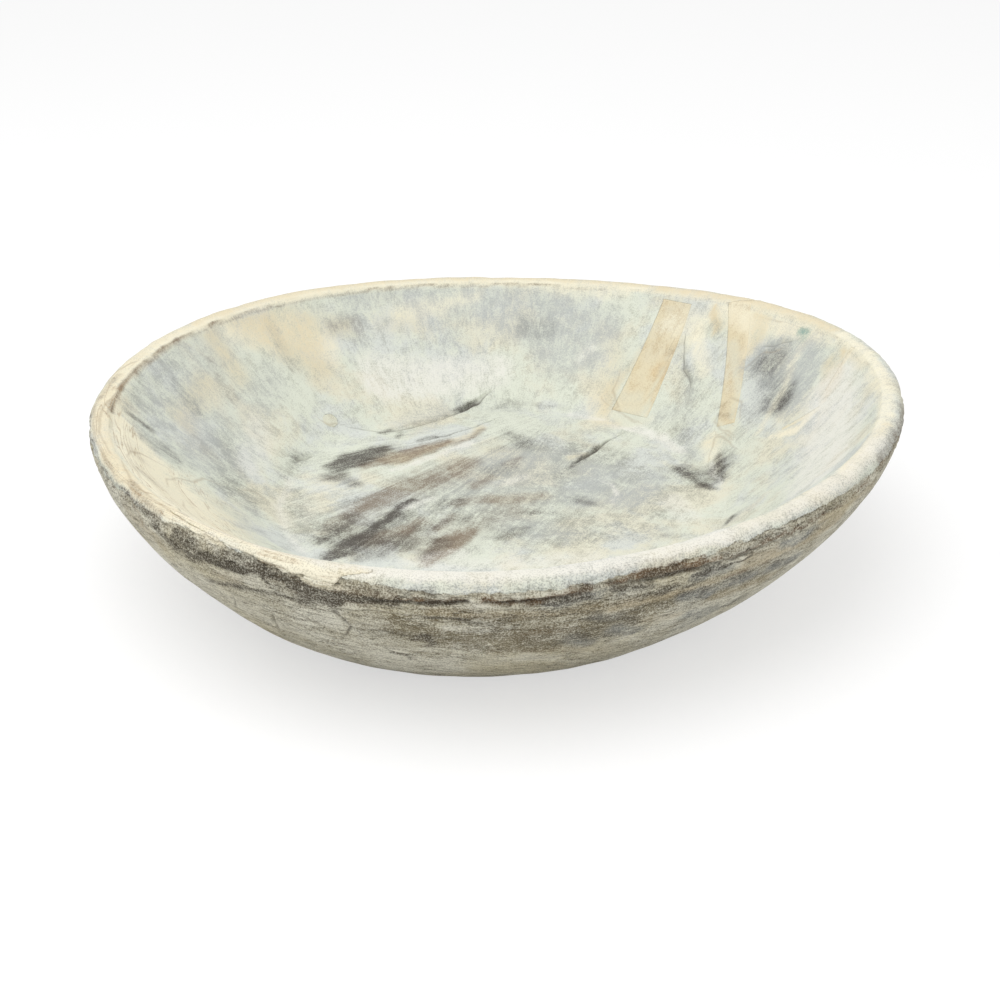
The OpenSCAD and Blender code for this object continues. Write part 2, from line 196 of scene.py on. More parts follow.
# Stains and worn places on the inside, as strokes over the plan: strength, softness of the edge, then
# points of x, y and half width. They are the bowl's own marks, but for the painted shade and painted
# highlight along the crease where the floor meets the wall.
insideStrokes = {
    "worn": [
        (0.52, 34, (-72, -20, 24), (-40, 10, 34), (0, 30, 40), (45, 40, 40), (76, 22, 30)),
        (0.5, 16, (-106, 14, 7), (-98, -20, 8)), (0.4, 20, (-80, -25, 12), (-20, -45, 12)),
        (0.35, 24, (10, 80, 20), (40, 80, 20)), (0.3, 24, (20, -30, 20), (70, -20, 20)),
        (0.35, 14, (110, 110, 10), (110, 80, 10)), (0.35, 14, (-176, 60, 10), (-184, -10, 10)),
        (0.3, 14, (-112, 50, 8), (-116, 10, 8), (-106, -30, 8)), (0.6, 18, (-146, 26, 10), (-134, -16, 12)),
        (0.3, 16, (0, -20, 20), (50, -25, 18)), (0.3, 16, (150, 60, 16), (150.1, 60, 16)),
    ],
    "coolGrey": [
        (0.48, 16, (-150, 105, 9), (-166, 70, 13), (-170, 40, 18), (-167, 10, 20), (-170, -15, 17),
         (-174, -30, 9)),
        (0.42, 14, (-126, 98, 8), (-138, 70, 11), (-142, 40, 14), (-146, 10, 13), (-152, -8, 9)),
        (0.76, 18, (-52, 176, 7), (-20, 182, 9), (10, 178, 13), (40, 170, 15), (66, 160, 10)),
        (0.47, 18, (-38, 166, 8), (-15, 158, 8)), (0.57, 16, (30, 155, 10), (60, 147, 9)),
        (0.47, 13, (-98, 148, 5), (-84, 156, 8), (-82, 148, 7)), (0.57, 10, (-90, 163, 4), (-68, 174, 5)),
        (0.81, 13, (144, 96, 7), (155, 90, 11), (165, 76, 12), (168, 56, 10), (160, 46, 8)),
        (0.57, 16, (150, 72, 11), (152, 52, 9)), (0.33, 21, (166, 30, 10), (166, 8, 14), (158, -12, 12)),
        (0.52, 13, (55, 46, 9), (50, 26, 10), (45, 10, 10)),
        (0.57, 12, (68, 8, 8), (80, 24, 9), (86, 40, 6)), (0.47, 18, (22, 72, 14), (0, 60, 14)),
        (0.43, 16, (8, -18, 13), (36, -30, 8)), (0.38, 10, (70, -32, 7), (86, -28, 6)),
        (0.43, 29, (-5, 30, 34), (40, 36, 34), (62, 20, 24)),
        (0.38, 8, (112, 116, 4), (110, 96, 5), (113, 80, 6)),
        (0.7, 6, (158, 108, 3), (170, 90, 4), (179, 70, 4)), (0.38, 8, (84, 104, 5), (100, 98, 6)),
        (0.52, 8, (105, 72, 4), (112, 58, 5)), (0.47, 10, (-62, 106, 4), (-40, 121, 8), (-24, 128, 6)),
        (0.33, 8, (-8, 131, 5), (12, 127, 5)), (0.38, 10, (-128, -20, 7), (-122, -46, 9)),
        (0.33, 10, (-152, -86, 5), (-140, -72, 8)), (0.43, 10, (118, -28, 5), (130, -20, 5)),
        (0.28, 13, (-95, 40, 9), (-80, 28, 8)),
    ],
    "tanWood": [
        (0.68, 19, (-152, 112, 7), (-140, 118, 11), (-118, 128, 14), (-104, 122, 10)),
        (0.48, 14, (-108, 140, 8), (-90, 150, 5)), (0.56, 14, (-162, 94, 7), (-146, 84, 8)),
        (0.52, 13, (-158, 64, 6), (-162, 48, 7)), (0.48, 13, (-165, 34, 6), (-166, 20, 8)),
        (0.48, 10, (-191, 8, 3), (-189, -34, 3)), (0.36, 13, (-72, 160, 5), (-48, 166, 6)),
        (0.4, 14, (62, 126, 9), (71, 146, 8)), (0.4, 10, (94, 164, 4), (112, 158, 4)),
        (0.44, 10, (136, 128, 5), (140, 104, 5)), (0.6, 10, (152, 118, 7), (148, 106, 6)),
        (0.75, 8, (178, 48, 4), (177, 28, 5)), (0.56, 6, (187, 62, 3), (190, 18, 3)),
        (0.55, 6, (88, 144, 2.5), (80, 136, 3), (66, 128, 4), (64, 120, 3)),
        (0.95, 5, (127, 140, 2.5), (128, 130, 2.5)), (0.4, 5, (112, 150, 2), (106, 136, 1.5)),
        (0.6, 8, (-64, 60, 4), (-48, 70, 5), (-32, 81, 3)),
        (0.9, 3, (186, 47, 1.2), (183, 39, 1.5), (179, 30, 1.5), (172, 24, 1.5)),
        (0.6, 6, (-58, 55, 2), (-36, 77, 2.5), (-20, 90, 3), (-8, 105, 3)),
        (0.48, 8, (42, 64, 4), (49, 66, 3)), (0.48, 11, (58, 112, 5), (70, 106, 6)),
        (0.25, 19, (-176, -46, 9), (-162, -70, 13), (-146, -96, 13), (-130, -104, 10)),
        (0.32, 22, (-134, -40, 12), (-126, -72, 14)), (0.4, 10, (116, 66, 4), (127, 58, 5), (133, 72, 4)),
        (0.32, 13, (0, 12, 7), (22, 14, 7)), (0.28, 13, (-22, 82, 6), (-2, 74, 6)),
    ],
    "creamWash": [
        (1.0, 16, (-190, -24, 4), (-176, -46, 16), (-160, -74, 22), (-144, -102, 21), (-124, -128, 18),
         (-100, -150, 14)), (0.55, 20, (-152, -36, 8), (-140, -62, 12), (-124, -90, 12)),
        (0.7, 9, (20, 190, 2), (60, 182, 4), (78, 174, 4)), (0.3, 7, (104, 162, 3), (128, 145, 3)),
        (0.8, 8, (128, 141, 5), (152, 115, 5), (170, 88, 4), (186, 56, 4), (192, 20, 4), (190, -30, 3)),
        (0.8, 8, (140, 130, 6), (146, 116, 4), (141, 104, 2)), (0.3, 12, (66, 150, 8), (60, 122, 8)),
        (0.6, 8, (120, 112, 5), (118, 132, 5)), (0.6, 8, (104, 148, 6), (118, 138, 6)),
        (0.65, 12, (-150, 104, 6), (-120, 130, 9), (-100, 134, 8)),
        (0.4, 8, (58, 112, 4), (74, 103, 4), (88, 101, 3)),
        (0.6, 6, (118, 52, 4), (119, 66, 5), (121, 40, 2)),
        (0.6, 6, (142, 44, 2), (158, 62, 3), (172, 84, 2)),
        (0.9, 3, (168, 22, 1.5), (160, 21, 2.5), (152, 28, 2), (146, 34, 1)),
        (0.5, 8, (-60, 168, 5), (-10, 186, 3)),
    ],
    "limeOver": [
        (0.55, 9, (74, 114, 5), (86, 108, 5)), (0.5, 5, (70, 120, 2), (78, 132, 2)),
        (0.6, 4, (84, 104, 1.5), (94, 122, 1.5), (100, 132, 1)),
        (0.7, 5, (68, 114, 2), (76, 106, 3), (88, 103, 2)), (0.5, 5, (76, 122, 3), (84, 118, 3)),
        (0.6, 4, (137, 96, 2), (135, 82, 2), (132, 70, 2)),
        (0.6, 4, (122, 78, 1.5), (126, 66, 3), (132, 62, 2)), (0.5, 4, (133, 132, 1), (128, 108, 1)),
        (0.55, 5, (136, 116, 2), (136, 100, 2)),
    ],
    "paintTrace": [
        (1.0, 3, (169, 88, 1.6), (171.5, 84, 2)), (0.5, 4, (168, 83, 1.2), (170, 80, 1.5)),
    ],
    "brownStainAndShade": [
        (0.4, 9, (-178, -52, 3), (-172, -60, 3)), (0.35, 9, (-168, -80, 4), (-158, -88, 3)),
        (0.4, 6, (101, 135, 3), (107, 134, 2)), (0.2, 5, (94, 124, 2), (101, 129, 2)),
        (0.35, 6, (124, 86, 2), (130, 82, 2)), (0.45, 5, (126, 78, 2), (131, 72, 2)),
        (0.2, 5, (127, 139, 2.5), (128, 131, 2.5)), (0.3, 9, (-158, 78, 5), (-148, 68, 5)),
        (0.3, 9, (-130, 124, 5), (-118, 112, 5)), (0.25, 9, (-160, 16, 5), (-150, 8, 5)),
        (0.8, 8, (-73, 55, 6), (-56, 64, 8), (-42, 74, 7), (-28, 85, 4)),
        (0.7, 4, (-24, 80, 1.5), (-8, 102, 2.5)),
        (0.35, 22, (-80, -26, 9), (-66, 0, 12), (-46, 28, 14), (-20, 55, 10)),
        (0.36, 20, (-60, -40, 12), (-20, -30, 12), (10, 0, 10)),
        (0.5, 10, (-84, -16, 5), (-70, 5, 7), (-55, 22, 8), (-38, 36, 9), (-25, 46, 8), (-15, 60, 6)),
        (0.55, 9, (-66, -36, 8), (-52, -30, 8)), (0.55, 7, (-46, -22, 6), (-40, -14, 5)),
        (0.95, 7, (-36, -61, 4), (-30, -49, 6.5), (-24, -38, 7), (-17, -28, 5)),
        (0.5, 7, (-30, -20, 5), (-24, -8, 4)), (0.5, 6, (-16, -33, 4), (-12, -24, 3)),
        (0.55, 8, (-22, 8, 5), (-4, 14, 6)), (0.5, 8, (2, 10, 6), (22, 16, 6)),
        (0.45, 7, (8, 56, 5), (12, 62, 4)), (0.5, 8, (-12, 30, 6), (-4, 38, 5)),
        (0.35, 8, (-96, 146, 5), (-84, 152, 6)), (0.12, 6, (127, 132, 3), (130, 112, 3)),
    ],
    "darkStainAndShade": [
        (1.0, 9, (-91, 51, 5), (-83, 57, 9), (-75, 65, 8), (-64, 75, 4)),
        (0.7, 4, (-46, 87, 1.2), (-29, 93, 1.5)), (0.7, 8, (-93, 37, 4), (-86, 42, 5)),
        (0.6, 9, (-84, 36, 5), (-78, 30, 5)), (0.4, 6, (-82, 8, 3), (-76, 12, 3)),
        (1, 4.5, (-85, -57, 4), (-80, -50, 5.5), (-72, -38, 5), (-64, -22, 3.2), (-56, -8, 2.4),
         (-52, 2, 2.2), (-46, 11, 2.8)), (0.38, 34, (-84, -40, 10), (-66, -30, 12), (-44, -44, 10)),
        (0.6, 10, (-89, -36, 5), (-82, -22, 6), (-76, -8, 5)),
        (0.5, 12, (-74, -46, 8), (-60, -41, 8), (-50, -36, 7)), (0.55, 9, (-61, -20, 5), (-48, -4, 5)),
        (0.5, 8, (-68, -57, 5), (-58, -52, 4)), (0.4, 10, (-40, -22, 6), (-20, -12, 6)),
        (0.5, 9, (-31, 5, 5), (-21, 11, 5)), (0.5, 9, (-37, -56, 4), (-28, -38, 6)),
        (0.4, 12, (-6, 45, 7), (6, 52, 7)), (0.55, 9, (7, 96, 4), (15, 84, 5)),
        (0.35, 10, (4, 77, 6), (26, 76, 5)), (0.5, 9, (8, -30, 5), (14, -22, 4)),
        (0.45, 6, (14, -4, 3), (30, -6, 3)), (0.5, 9, (43, 11, 5), (50, 6, 4)),
        (0.35, 8, (34, 40, 5), (42, 46, 4)), (0.4, 8, (-4, -20, 4), (4, -34, 4)),
        (0.75, 10, (100, 46, 4), (104, 39, 4), (110, 29, 2), (114, 21, 1.5)),
        (0.8, 10, (121, 48, 2.5), (122, 38, 3.5), (122, 30, 2)),
        (0.5, 16, (104, 42, 9), (120, 38, 9), (112, 24, 5)), (0.7, 5, (112, 24, 2), (115, 21, 2)),
        (0.55, 8, (155, 51, 3.5), (160, 57, 3)), (0.45, 12, (150, 90, 6), (158, 84, 6)),
        (0.45, 8, (148, 62, 6), (156, 48, 6)),
        # painted shade: this line and the next lay dark lines along the crease where the floor meets the
        # wall, at the back and on the left
        (0.45, 5, (-8, 128, 1), (6, 132, 1.5), (22, 131, 1.5), (42, 125, 1)),
        (0.3, 7, (-112, 60, 2), (-115, 30, 2), (-114, 0, 2)),
        (0.35, 8, (-60, 100, 3), (-40, 114, 5), (-28, 122, 4)),
        (0.6, 5, (38, 50, 2), (48, 62, 2.5), (58, 77, 1.5)),
        (0.3, 10, (100, 90, 4), (108, 74, 4), (106, 56, 4)), (0.8, 5, (118, -27, 1.5), (121, -21, 2)),
        (0.7, 6, (-185, -17, 1.5), (-177, -12.5, 2.5)), (0.4, 12, (-176, -28, 6), (-164, -20, 7)),
        (0.7, 4, (-67, 96, 2.5), (-63, 99, 2)), (0.6, 4, (-58, 92, 2.5), (-56, 95, 2)),
        (0.8, 4, (-24, 127, 1.5), (-12, 134, 2)), (0.4, 6, (-112, 54, 2), (-107, 62, 2)),
        (0.35, 8, (82, -32, 4), (88, -36, 3)), (0.35, 9, (-170, 42, 6), (-160, 38, 5)),
        (0.3, 9, (16, 172, 6), (30, 168, 6)), (0.36, 16, (150, 84, 9), (154, 68, 8)),
        (0.35, 8, (-70, 62, 6), (-56, 76, 5)), (0.4, 6, (109, 128, 1.5), (109, 120, 1.8), (112, 110, 1.8)),
    ],
    "chalkAndHighlight": [
        (0.7, 4, (-58, 48, 2), (-30, 70, 3), (-14, 84, 2)),
        # painted highlight: this stroke and the first on the next line run pale along the floor's edge at
        # the back right
        (0.8, 5, (68, 104, 2.5), (80, 98, 4), (95, 82, 4), (103, 66, 3)),
        (0.7, 3, (44, 121, 1.5), (62, 112, 2)), (0.8, 3, (59, 33, 1), (64, 20, 1.5), (62, 4, 1.2)),
        (0.6, 3, (117, 47, 1), (121, 24, 1.2)),
        (0.5, 6, (-113, 32, 3), (-116, 0, 3), (-108, -30, 3), (-99, -50, 4)),
        (0.85, 20, (176, 30, 12), (168, -20, 16), (156, -60, 14)), (0.25, 12, (-100, -12, 7), (-96, 32, 8)),
        (0.5, 12, (-44, -62, 6), (0, -64, 8), (44, -56, 8)), (0.45, 10, (92, 8, 8), (98, -12, 8)),
        (0.8, 14, (-70, 132, 12), (-30, 144, 10), (0, 150, 8)), (0.5, 8, (6, 32, 4), (14, 40, 4)),
        (0.5, 6, (-48, 2, 3), (-36, 14, 3)), (0.5, 8, (-36, -54, 5), (-20, -50, 6)),
        (0.5, 8, (50, 150, 3), (56, 154, 3)), (0.45, 12, (-130, 60, 8), (-134, 20, 8)),
    ],
}

# The same for the outside and the rim, over angle round the bowl and distance from the hollow's edge
outsideStrokes = {
    "worn": [
        (0.5, 10, (262, 26, 3), (276, 30, 4)),
        (1.0, 14, (258, 34, 6), (264, 44, 8), (276, 48, 12), (286, 42, 11), (292, 34, 8)),
        (0.5, 12, (258, 42, 6), (262, 52, 6)), (0.5, 8, (258, 26, 4), (290, 26, 4)),
        (0.5, 14, (300, 40, 10), (312, 44, 10)),
        (0.3, 12, (224, 20, 5), (236, 16, 4), (250, 18, 5), (262, 16, 3)),
        (0.5, 16, (272, 44, 8), (278, 50, 9), (286, 46, 10)), (0.4, 14, (270, 58, 4), (279, 60, 4)),
        (0.4, 14, (281, 30, 8), (300, 34, 9), (312, 36, 8)),
        (0.4, 20, (0, 40, 14), (60, 44, 14), (120, 40, 14), (190, 44, 14)),
        (0.25, 6, (280, 12, 3), (330, 13, 4), (350, 12, 4)), (0.3, 12, (282, 78, 4), (290, 86, 5)),
        (0.3, 12, (237, 66, 4), (238, 76, 4)),
    ],
    "coolGrey": [
        (0.75, 5, (276, 21, 2.5), (282, 21, 3)), (0.5, 5, (285, 21, 2), (289, 21, 2)),
        (0.6, 4, (280, 19, 1.6), (284, 19, 1.6)), (0.85, 5, (295, 22, 3), (300, 23, 3)),
        (0.85, 6, (309, 23, 3), (313, 25, 3.5), (315, 23, 2)), (0.6, 8, (282, 34, 3), (285, 38, 4)),
        (0.85, 6, (295, 34, 4), (299, 39, 4)), (0.8, 6, (301, 35, 4), (306, 38, 4)),
        (0.8, 6, (309, 38, 4), (315, 40, 4)), (0.8, 8, (286, 50, 5), (290, 58, 5)),
        (0.65, 8, (280, 52, 5), (283, 60, 5)), (0.6, 8, (298, 56, 5), (303, 60, 5)),
        (0.4, 6, (255, 17, 2), (260, 16, 2)), (0.4, 8, (236, 14, 2), (244, 15, 2)),
        (0.5, 8, (300, 70, 6), (310, 62, 5)), (0.55, 8, (20, 40, 6), (28, 44, 7)),
        (0.6, 9, (60, 30, 6), (72, 36, 7)), (0.5, 9, (110, 60, 8), (124, 52, 7)),
        (0.6, 8, (150, 34, 6), (160, 42, 6)), (0.5, 9, (336, 60, 8), (344, 72, 8)),
        (0.5, 8, (170, 70, 7), (182, 64, 6)),
    ],
    "tanWood": [
        (0.15, 6, (178, 8, 5), (192, 6, 7), (206, 5, 6), (224, 7, 6)),
        (0.45, 6, (203, 9, 3), (211, 8, 4), (216, 10, 3)),
        (0.5, 5, (262, 24, 3), (280, 27, 2.5), (292, 28, 2)),
        (0.7, 5, (284, 31, 2), (294, 30, 2), (303, 28, 2), (322, 28, 3)),
        (0.65, 5, (303, 22, 3), (308, 24, 3)), (0.6, 6, (316, 21, 3), (330, 23, 3)),
        (0.5, 8, (300, 45, 3), (312, 48, 4)), (0.5, 8, (290, 47, 3), (296, 51, 3)),
        (0.5, 6, (233, 27, 3), (237, 26, 3)), (0.5, 8, (214, 22, 5), (222, 28, 6)),
        (0.4, 8, (190, 40, 12), (190, 60, 10)), (0.5, 9, (60, 10, 6), (100, 8, 5), (150, 8, 6)),
        (0.45, 9, (0, 20, 8), (40, 22, 8)), (0.3, 5, (304, 6, 3), (312, 9, 4), (330, 7, 4)),
        (0.5, 9, (90, 48, 9), (104, 42, 8)), (0.5, 9, (140, 64, 8), (150, 58, 8)),
        (0.6, 5, (20, 4, 4), (60, 4, 4)), (0.45, 7, (340, 7, 5), (20, 7, 5)),
        (0.35, 10, (282, 66, 4), (288, 76, 4)),
    ],
    "creamWash": [
        (0.95, 2.5, (241, 13, 2), (245, 14, 2.5), (247.5, 15.5, 2.5), (251, 15.5, 2.5)),
        (0.9, 6, (150, 3, 5), (185, 4, 7), (205, 5, 8), (225, 6, 7), (240, 6, 6)),
        (0.45, 6, (240, 6, 6), (262, 5, 5)), (0.85, 5, (0, 2, 5), (40, 2, 5), (90, 2, 5), (150, 3, 5)),
        (0.7, 6, (325, 4, 5), (345, 3, 6), (360, 2, 6)), (0.35, 6, (290, 8, 4), (325, 5, 5)),
        (0.4, 4, (284, 30, 2), (310, 28, 2)),
    ],
    "limeOver": [],
    "paintTrace": [],
    "brownStainAndShade": [
        # painted shade: the first strokes lay a thin line along the hollow's edge, where the rim turns down
        # into the wall
        (0.9, 3, (70, -1.5, 0.8), (100, -1.5, 1), (120, -2, 1.4), (150, -2, 1.4), (175, -1, 1.6),
         (188, 0, 1.4)), (0.6, 3, (4, -1.5, 1), (30, -1.5, 0.8), (70, -1.5, 0.6)),
        (0.5, 5, (176, 6, 2), (184, 9, 2)), (0.55, 3, (158, -0.5, 1), (180, 1, 1.6), (190, 3, 1.2)),
        (0.45, 4, (203, 10, 2), (212, 12, 1.5)),
        (1.0, 2.5, (256, 19, 0.8), (261, 18.5, 1.5), (266, 18, 1.5)),
        (1.0, 2.5, (268.3, 17.7, 1.6), (275, 17.8, 1.8), (281, 17, 1)),
        (1.0, 3, (283, 16.6, 0.5), (287, 15.6, 1.7), (291, 15.6, 2.2), (296, 16.5, 1.2), (299, 16.8, 0.3)),
        (0.85, 2, (300, 16.5, 0.6), (308, 17.5, 0.6), (316, 17.5, 0.6), (327, 17.5, 0.5)),
        (0.6, 5, (251, 17, 2), (258, 17.5, 1.5)), (0.6, 4, (245, 23, 1.5), (255, 22, 1.5)),
        (0.7, 2, (300, 31, 0.8), (309, 30.5, 0.7)), (0.35, 4, (284, 11, 1.5), (291, 11.5, 1.5)),
        (0.4, 3, (306, 9, 1), (307, 14, 1)), (0.35, 9, (270, 60, 2), (284, 64, 3)),
        (0.35, 9, (274, 43, 4), (280, 40, 3)), (0.6, 5, (213, 8.5, 2), (218, 10.5, 2.5), (223, 11.5, 1.6)),
        (0.4, 4, (217, 16, 1.5), (219, 22, 2)), (0.4, 5, (184, 10, 2), (190, 13, 2)),
        (0.5, 7, (330, 14, 3), (350, 15, 4)), (0.4, 4, (239, 17, 2), (246, 19, 2)),
        (0.5, 8, (30, 16, 3), (70, 17, 3), (110, 16, 3), (160, 17, 3)),
    ],
    "darkStainAndShade": [
        (0.75, 2.5, (188, 14, 0.6), (200, 14.5, 0.7), (210, 14.5, 0.8), (217, 13.6, 0.8), (223, 14, 0.8)),
        (0.7, 4, (222, 16, 1.5), (224, 19, 3), (226, 22, 3)),
        (0.8, 6, (225.5, 20, 2.5), (228, 22, 3.5), (231, 21, 3)),
        (1.0, 3, (231, 19.3, 1.8), (235, 18.6, 2), (240, 18.6, 2), (242.6, 17.8, 1.4)),
        (0.6, 7, (226, 24.5, 2), (229, 25, 2.5)),
        (0.8, 4, (226, 16, 1.8), (232, 16.5, 1.8), (238, 15.5, 2), (243, 16, 1.6)),
        (1.0, 3.5, (241, 16.5, 1.8), (244, 17.5, 2.4), (247, 18.6, 2)),
        (0.5, 5, (243, 23, 2.5), (247, 24, 3)), (0.9, 2, (241, 20, 1), (242.2, 25, 1)),
        (0.9, 4, (245, 20, 1.5), (248, 21.5, 3), (251, 23, 3.5)),
        (0.9, 3, (250.4, 19, 1), (250.8, 27, 1.2)),
        (1.0, 3.5, (250.5, 20.5, 2.4), (254, 20.3, 2.6), (258, 19.3, 2)),
        (0.8, 2.5, (257, 19.2, 1.6), (262, 19.6, 1), (266.5, 19, 0.7)),
        (0.35, 4, (252, 16, 2), (256, 15.5, 2)), (0.5, 3, (261, 15, 1), (263, 15, 1.5)),
        (1.0, 3, (245, 18.5, 2), (248, 20, 3), (251, 20.5, 3)),
        (0.7, 4, (246.5, 24.5, 2.5), (250, 25.5, 3)), (0.5, 3, (214, 14, 1), (219, 15, 1.5), (222, 16, 2)),
        (0.6, 5, (246.5, 26, 2), (250, 27, 2.5)),
        (0.95, 2.5, (230, 37, 1.5), (233, 34, 1.8), (236, 31.3, 1.4), (240, 29.4, 1), (244, 28.3, 1),
         (247, 29, 1.8)), (0.9, 2, (261.5, 28, 0.5), (265, 28, 0.8), (268, 29.5, 0.7)),
        (0.45, 2, (268, 29.5, 0.4), (276, 30, 0.4), (284, 30, 0.3)),
        (0.9, 5, (259, 47, 1.6), (261, 42, 2.5), (262, 50, 3), (261.5, 54, 1.5)),
        (0.6, 2, (256.5, 51, 0.7), (258, 50.5, 0.8)),
        (0.8, 2.5, (256, 66, 0.6), (258.5, 68.5, 1.3), (258.5, 74, 0.6)),
        (0.6, 3, (266, 65, 0.8), (266.6, 71, 0.8)), (0.7, 3, (273, 76, 0.8), (274.5, 79, 1)),
        (0.5, 4, (269.5, 33, 1), (270, 38, 1.5), (270, 44, 1)),
        (0.4, 10, (274, 46, 4), (279, 52, 5), (283, 46, 5)), (0.85, 3, (276, 20, 2), (281, 21, 2)),
        (0.7, 3, (284, 19.5, 1.5), (289, 20, 1.5)),
        (0.9, 2.5, (288.5, 24, 1.5), (292, 25, 2), (295, 27, 1.2)), (0.75, 4, (295, 21, 2), (299, 22, 2)),
        (0.95, 2, (299, 21, 1), (303.5, 21, 1)), (0.6, 2.5, (283, 27, 0.8), (291, 27.5, 1)),
        (0.65, 5, (281, 33, 1.5), (284, 38, 2)), (0.65, 6, (286, 38, 2.5), (289, 46, 3)),
        (0.65, 4, (291, 35, 1.5), (293, 40, 1.5)), (0.65, 5, (295, 32, 2), (298, 35, 2), (297, 44, 2)),
        (0.6, 5, (301, 33, 2), (305, 36, 2)), (0.55, 5, (309, 36, 2), (314, 42, 2)),
        (0.55, 6, (281, 50, 2), (284, 57, 3)), (0.55, 5, (286, 54, 2), (289, 58, 2)),
        (0.5, 4, (287, 66, 1.5), (290, 74, 1.5)),
        (0.6, 2.5, (288, 16, 1), (291.5, 15.5, 1.8), (293, 16.5, 1)),
        (0.5, 2, (284, 16.5, 0.8), (292, 17.5, 1), (297, 17.5, 0.8)),
        (0.6, 3, (279.5, 17, 1.5), (283.5, 16, 1.5)), (0.5, 2.5, (299, 15.5, 1), (303, 16, 1)),
        (0.4, 3, (303, 16, 1), (312, 17, 1), (322, 15, 1)), (0.5, 8, (196, 30, 3), (204, 44, 3)),
        (0.4, 8, (230, 50, 3), (232, 62, 3)),
        (0.7, 4, (20, 18, 1.6), (60, 18, 2), (100, 19, 1.8), (150, 18, 2), (185, 17, 1.8)),
        (0.6, 7, (40, 50, 4), (46, 60, 4)), (0.6, 7, (95, 34, 3), (99, 46, 4)),
        (0.6, 6, (132, 78, 3), (136, 90, 4)), (0.55, 7, (168, 48, 4), (174, 58, 4)),
        (0.4, 5, (336, 17, 2), (352, 17, 2)), (0.5, 7, (350, 50, 4), (356, 60, 4)),
    ],
    "chalkAndHighlight": [
        (0.6, 5, (226, 5, 4), (240, 6, 5), (250, 8, 5), (262, 6, 5)),
        (0.85, 5, (255, 5, 5), (280, 6, 6), (300, 6, 5)), (0.65, 6, (300, 8, 5), (335, 8, 5)),
        (0.7, 2, (266.8, 16.5, 0.8), (267.6, 20, 0.7)), (0.7, 3, (232.5, 12.5, 1.2), (234.5, 15, 1)),
        (0.5, 4, (232.5, 24, 2.5), (236, 24, 3), (240, 24.5, 2.5)),
        (0.9, 3, (287.5, 66, 1), (289.5, 63.5, 2)), (0.75, 4, (264, 34.5, 2.5), (269, 36.5, 2.5)),
        (0.6, 8, (275, 70, 5), (280, 76, 5)), (0.5, 12, (228, 36, 6), (234, 46, 8)),
        (0.5, 14, (200, 34, 10), (222, 48, 10), (240, 60, 8)),
        (0.5, 8, (248, 42, 3), (252, 40, 3), (256, 35, 4)),
        (0.5, 8, (256, 60, 3), (262, 58, 3), (266, 50, 3)),
        (0.35, 12, (276, 70, 6), (266, 78, 8), (252, 70, 6)), (0.3, 10, (238, 44, 4), (243, 52, 5)),
        (0.4, 6, (246, 38, 2), (249, 46, 3)), (0.5, 9, (300, 84, 9), (320, 78, 9)),
        (0.5, 10, (20, 70, 10), (40, 80, 10)), (0.5, 10, (80, 86, 10), (110, 84, 10)),
        (0.5, 10, (160, 90, 10), (180, 86, 10)), (0.5, 9, (206, 80, 9), (220, 84, 9)),
    ],
}

# Thin lines, drawn the same way: open cracks, and brown growth rings and edges of washes
insideLines = {
    "crack": [
        ((-60, 98, 0.1), (-50, 104, 0.3), (-42, 110, 0.4), (-33, 116, 0.3), (-24, 124, 0.6),
         (-17, 130, 1.0), (-12, 133, 0.7), (-4, 139, 0.1)),
        ((-84, 97, 0.0), (-76, 99, 0.1), (-66, 98, 0.3), (-60, 99, 0.1)),
        ((42, 56, 0.4), (49, 64, 0.8), (55, 72, 0.9), (60, 80, 0.5), (68, 90, 0.2), (75, 97, 0.1)),
        ((111, 138, 0.0), (109, 128, 0.25), (109, 120, 0.3), (112, 110, 0.15), (110, 100, 0.0)),
        ((-46, 85, 0.1), (-38, 89, 0.4), (-30, 93, 0.3), (-14, 105, 0.3), (-4, 113, 0.3)),
        ((-113, 50, 0.1), (-109, 56, 0.3), (-104, 62, 0.1)),
        ((150, 99, 0.1), (158, 93, 0.3), (164, 87, 0.1)),
    ],
    "ring": [
        ((-164, -42, 0.3), (-173, -48, 0.8), (-177, -58, 0.8), (-176, -68, 0.6), (-170, -82, 0.5),
         (-162, -98, 0.3)),
        ((-144, -16, 0.3), (-150, -22, 0.7), (-152, -35, 0.7), (-157, -45, 0.6), (-160, -60, 0.6),
         (-157, -72, 0.3)), ((-148, -84, 0.3), (-146, -96, 0.6), (-138, -112, 0.3)),
        ((-130, -76, 0.3), (-127, -88, 0.5), (-128, -98, 0.3)),
        ((-133, -4, 0.3), (-127, 2, 0.6), (-120, -2, 0.3)),
        ((141, 96, 0.3), (150, 95, 0.6), (159, 88, 0.3)),
        ((117, 52, 0.3), (122, 66, 0.7), (126, 60, 0.6), (130, 48, 0.4)),
        ((73, 136, 0.3), (68, 128, 0.6), (72, 114, 0.6), (80, 104, 0.4)),
        ((-100, 92, 0.4), (-96, 92, 0.7), (-92, 95, 0.3)), ((62, 125, 0.2), (72, 114, 0.5), (82, 104, 0.4)),
        ((128, 82, 0.2), (122, 76, 0.5), (126, 66, 0.5), (131, 56, 0.3)),
        ((132, 84, 0.3), (137, 76, 0.5), (135, 66, 0.3)),
        ((154, 112, 0.2), (164, 100, 0.5), (174, 84, 0.4)),
    ],
}
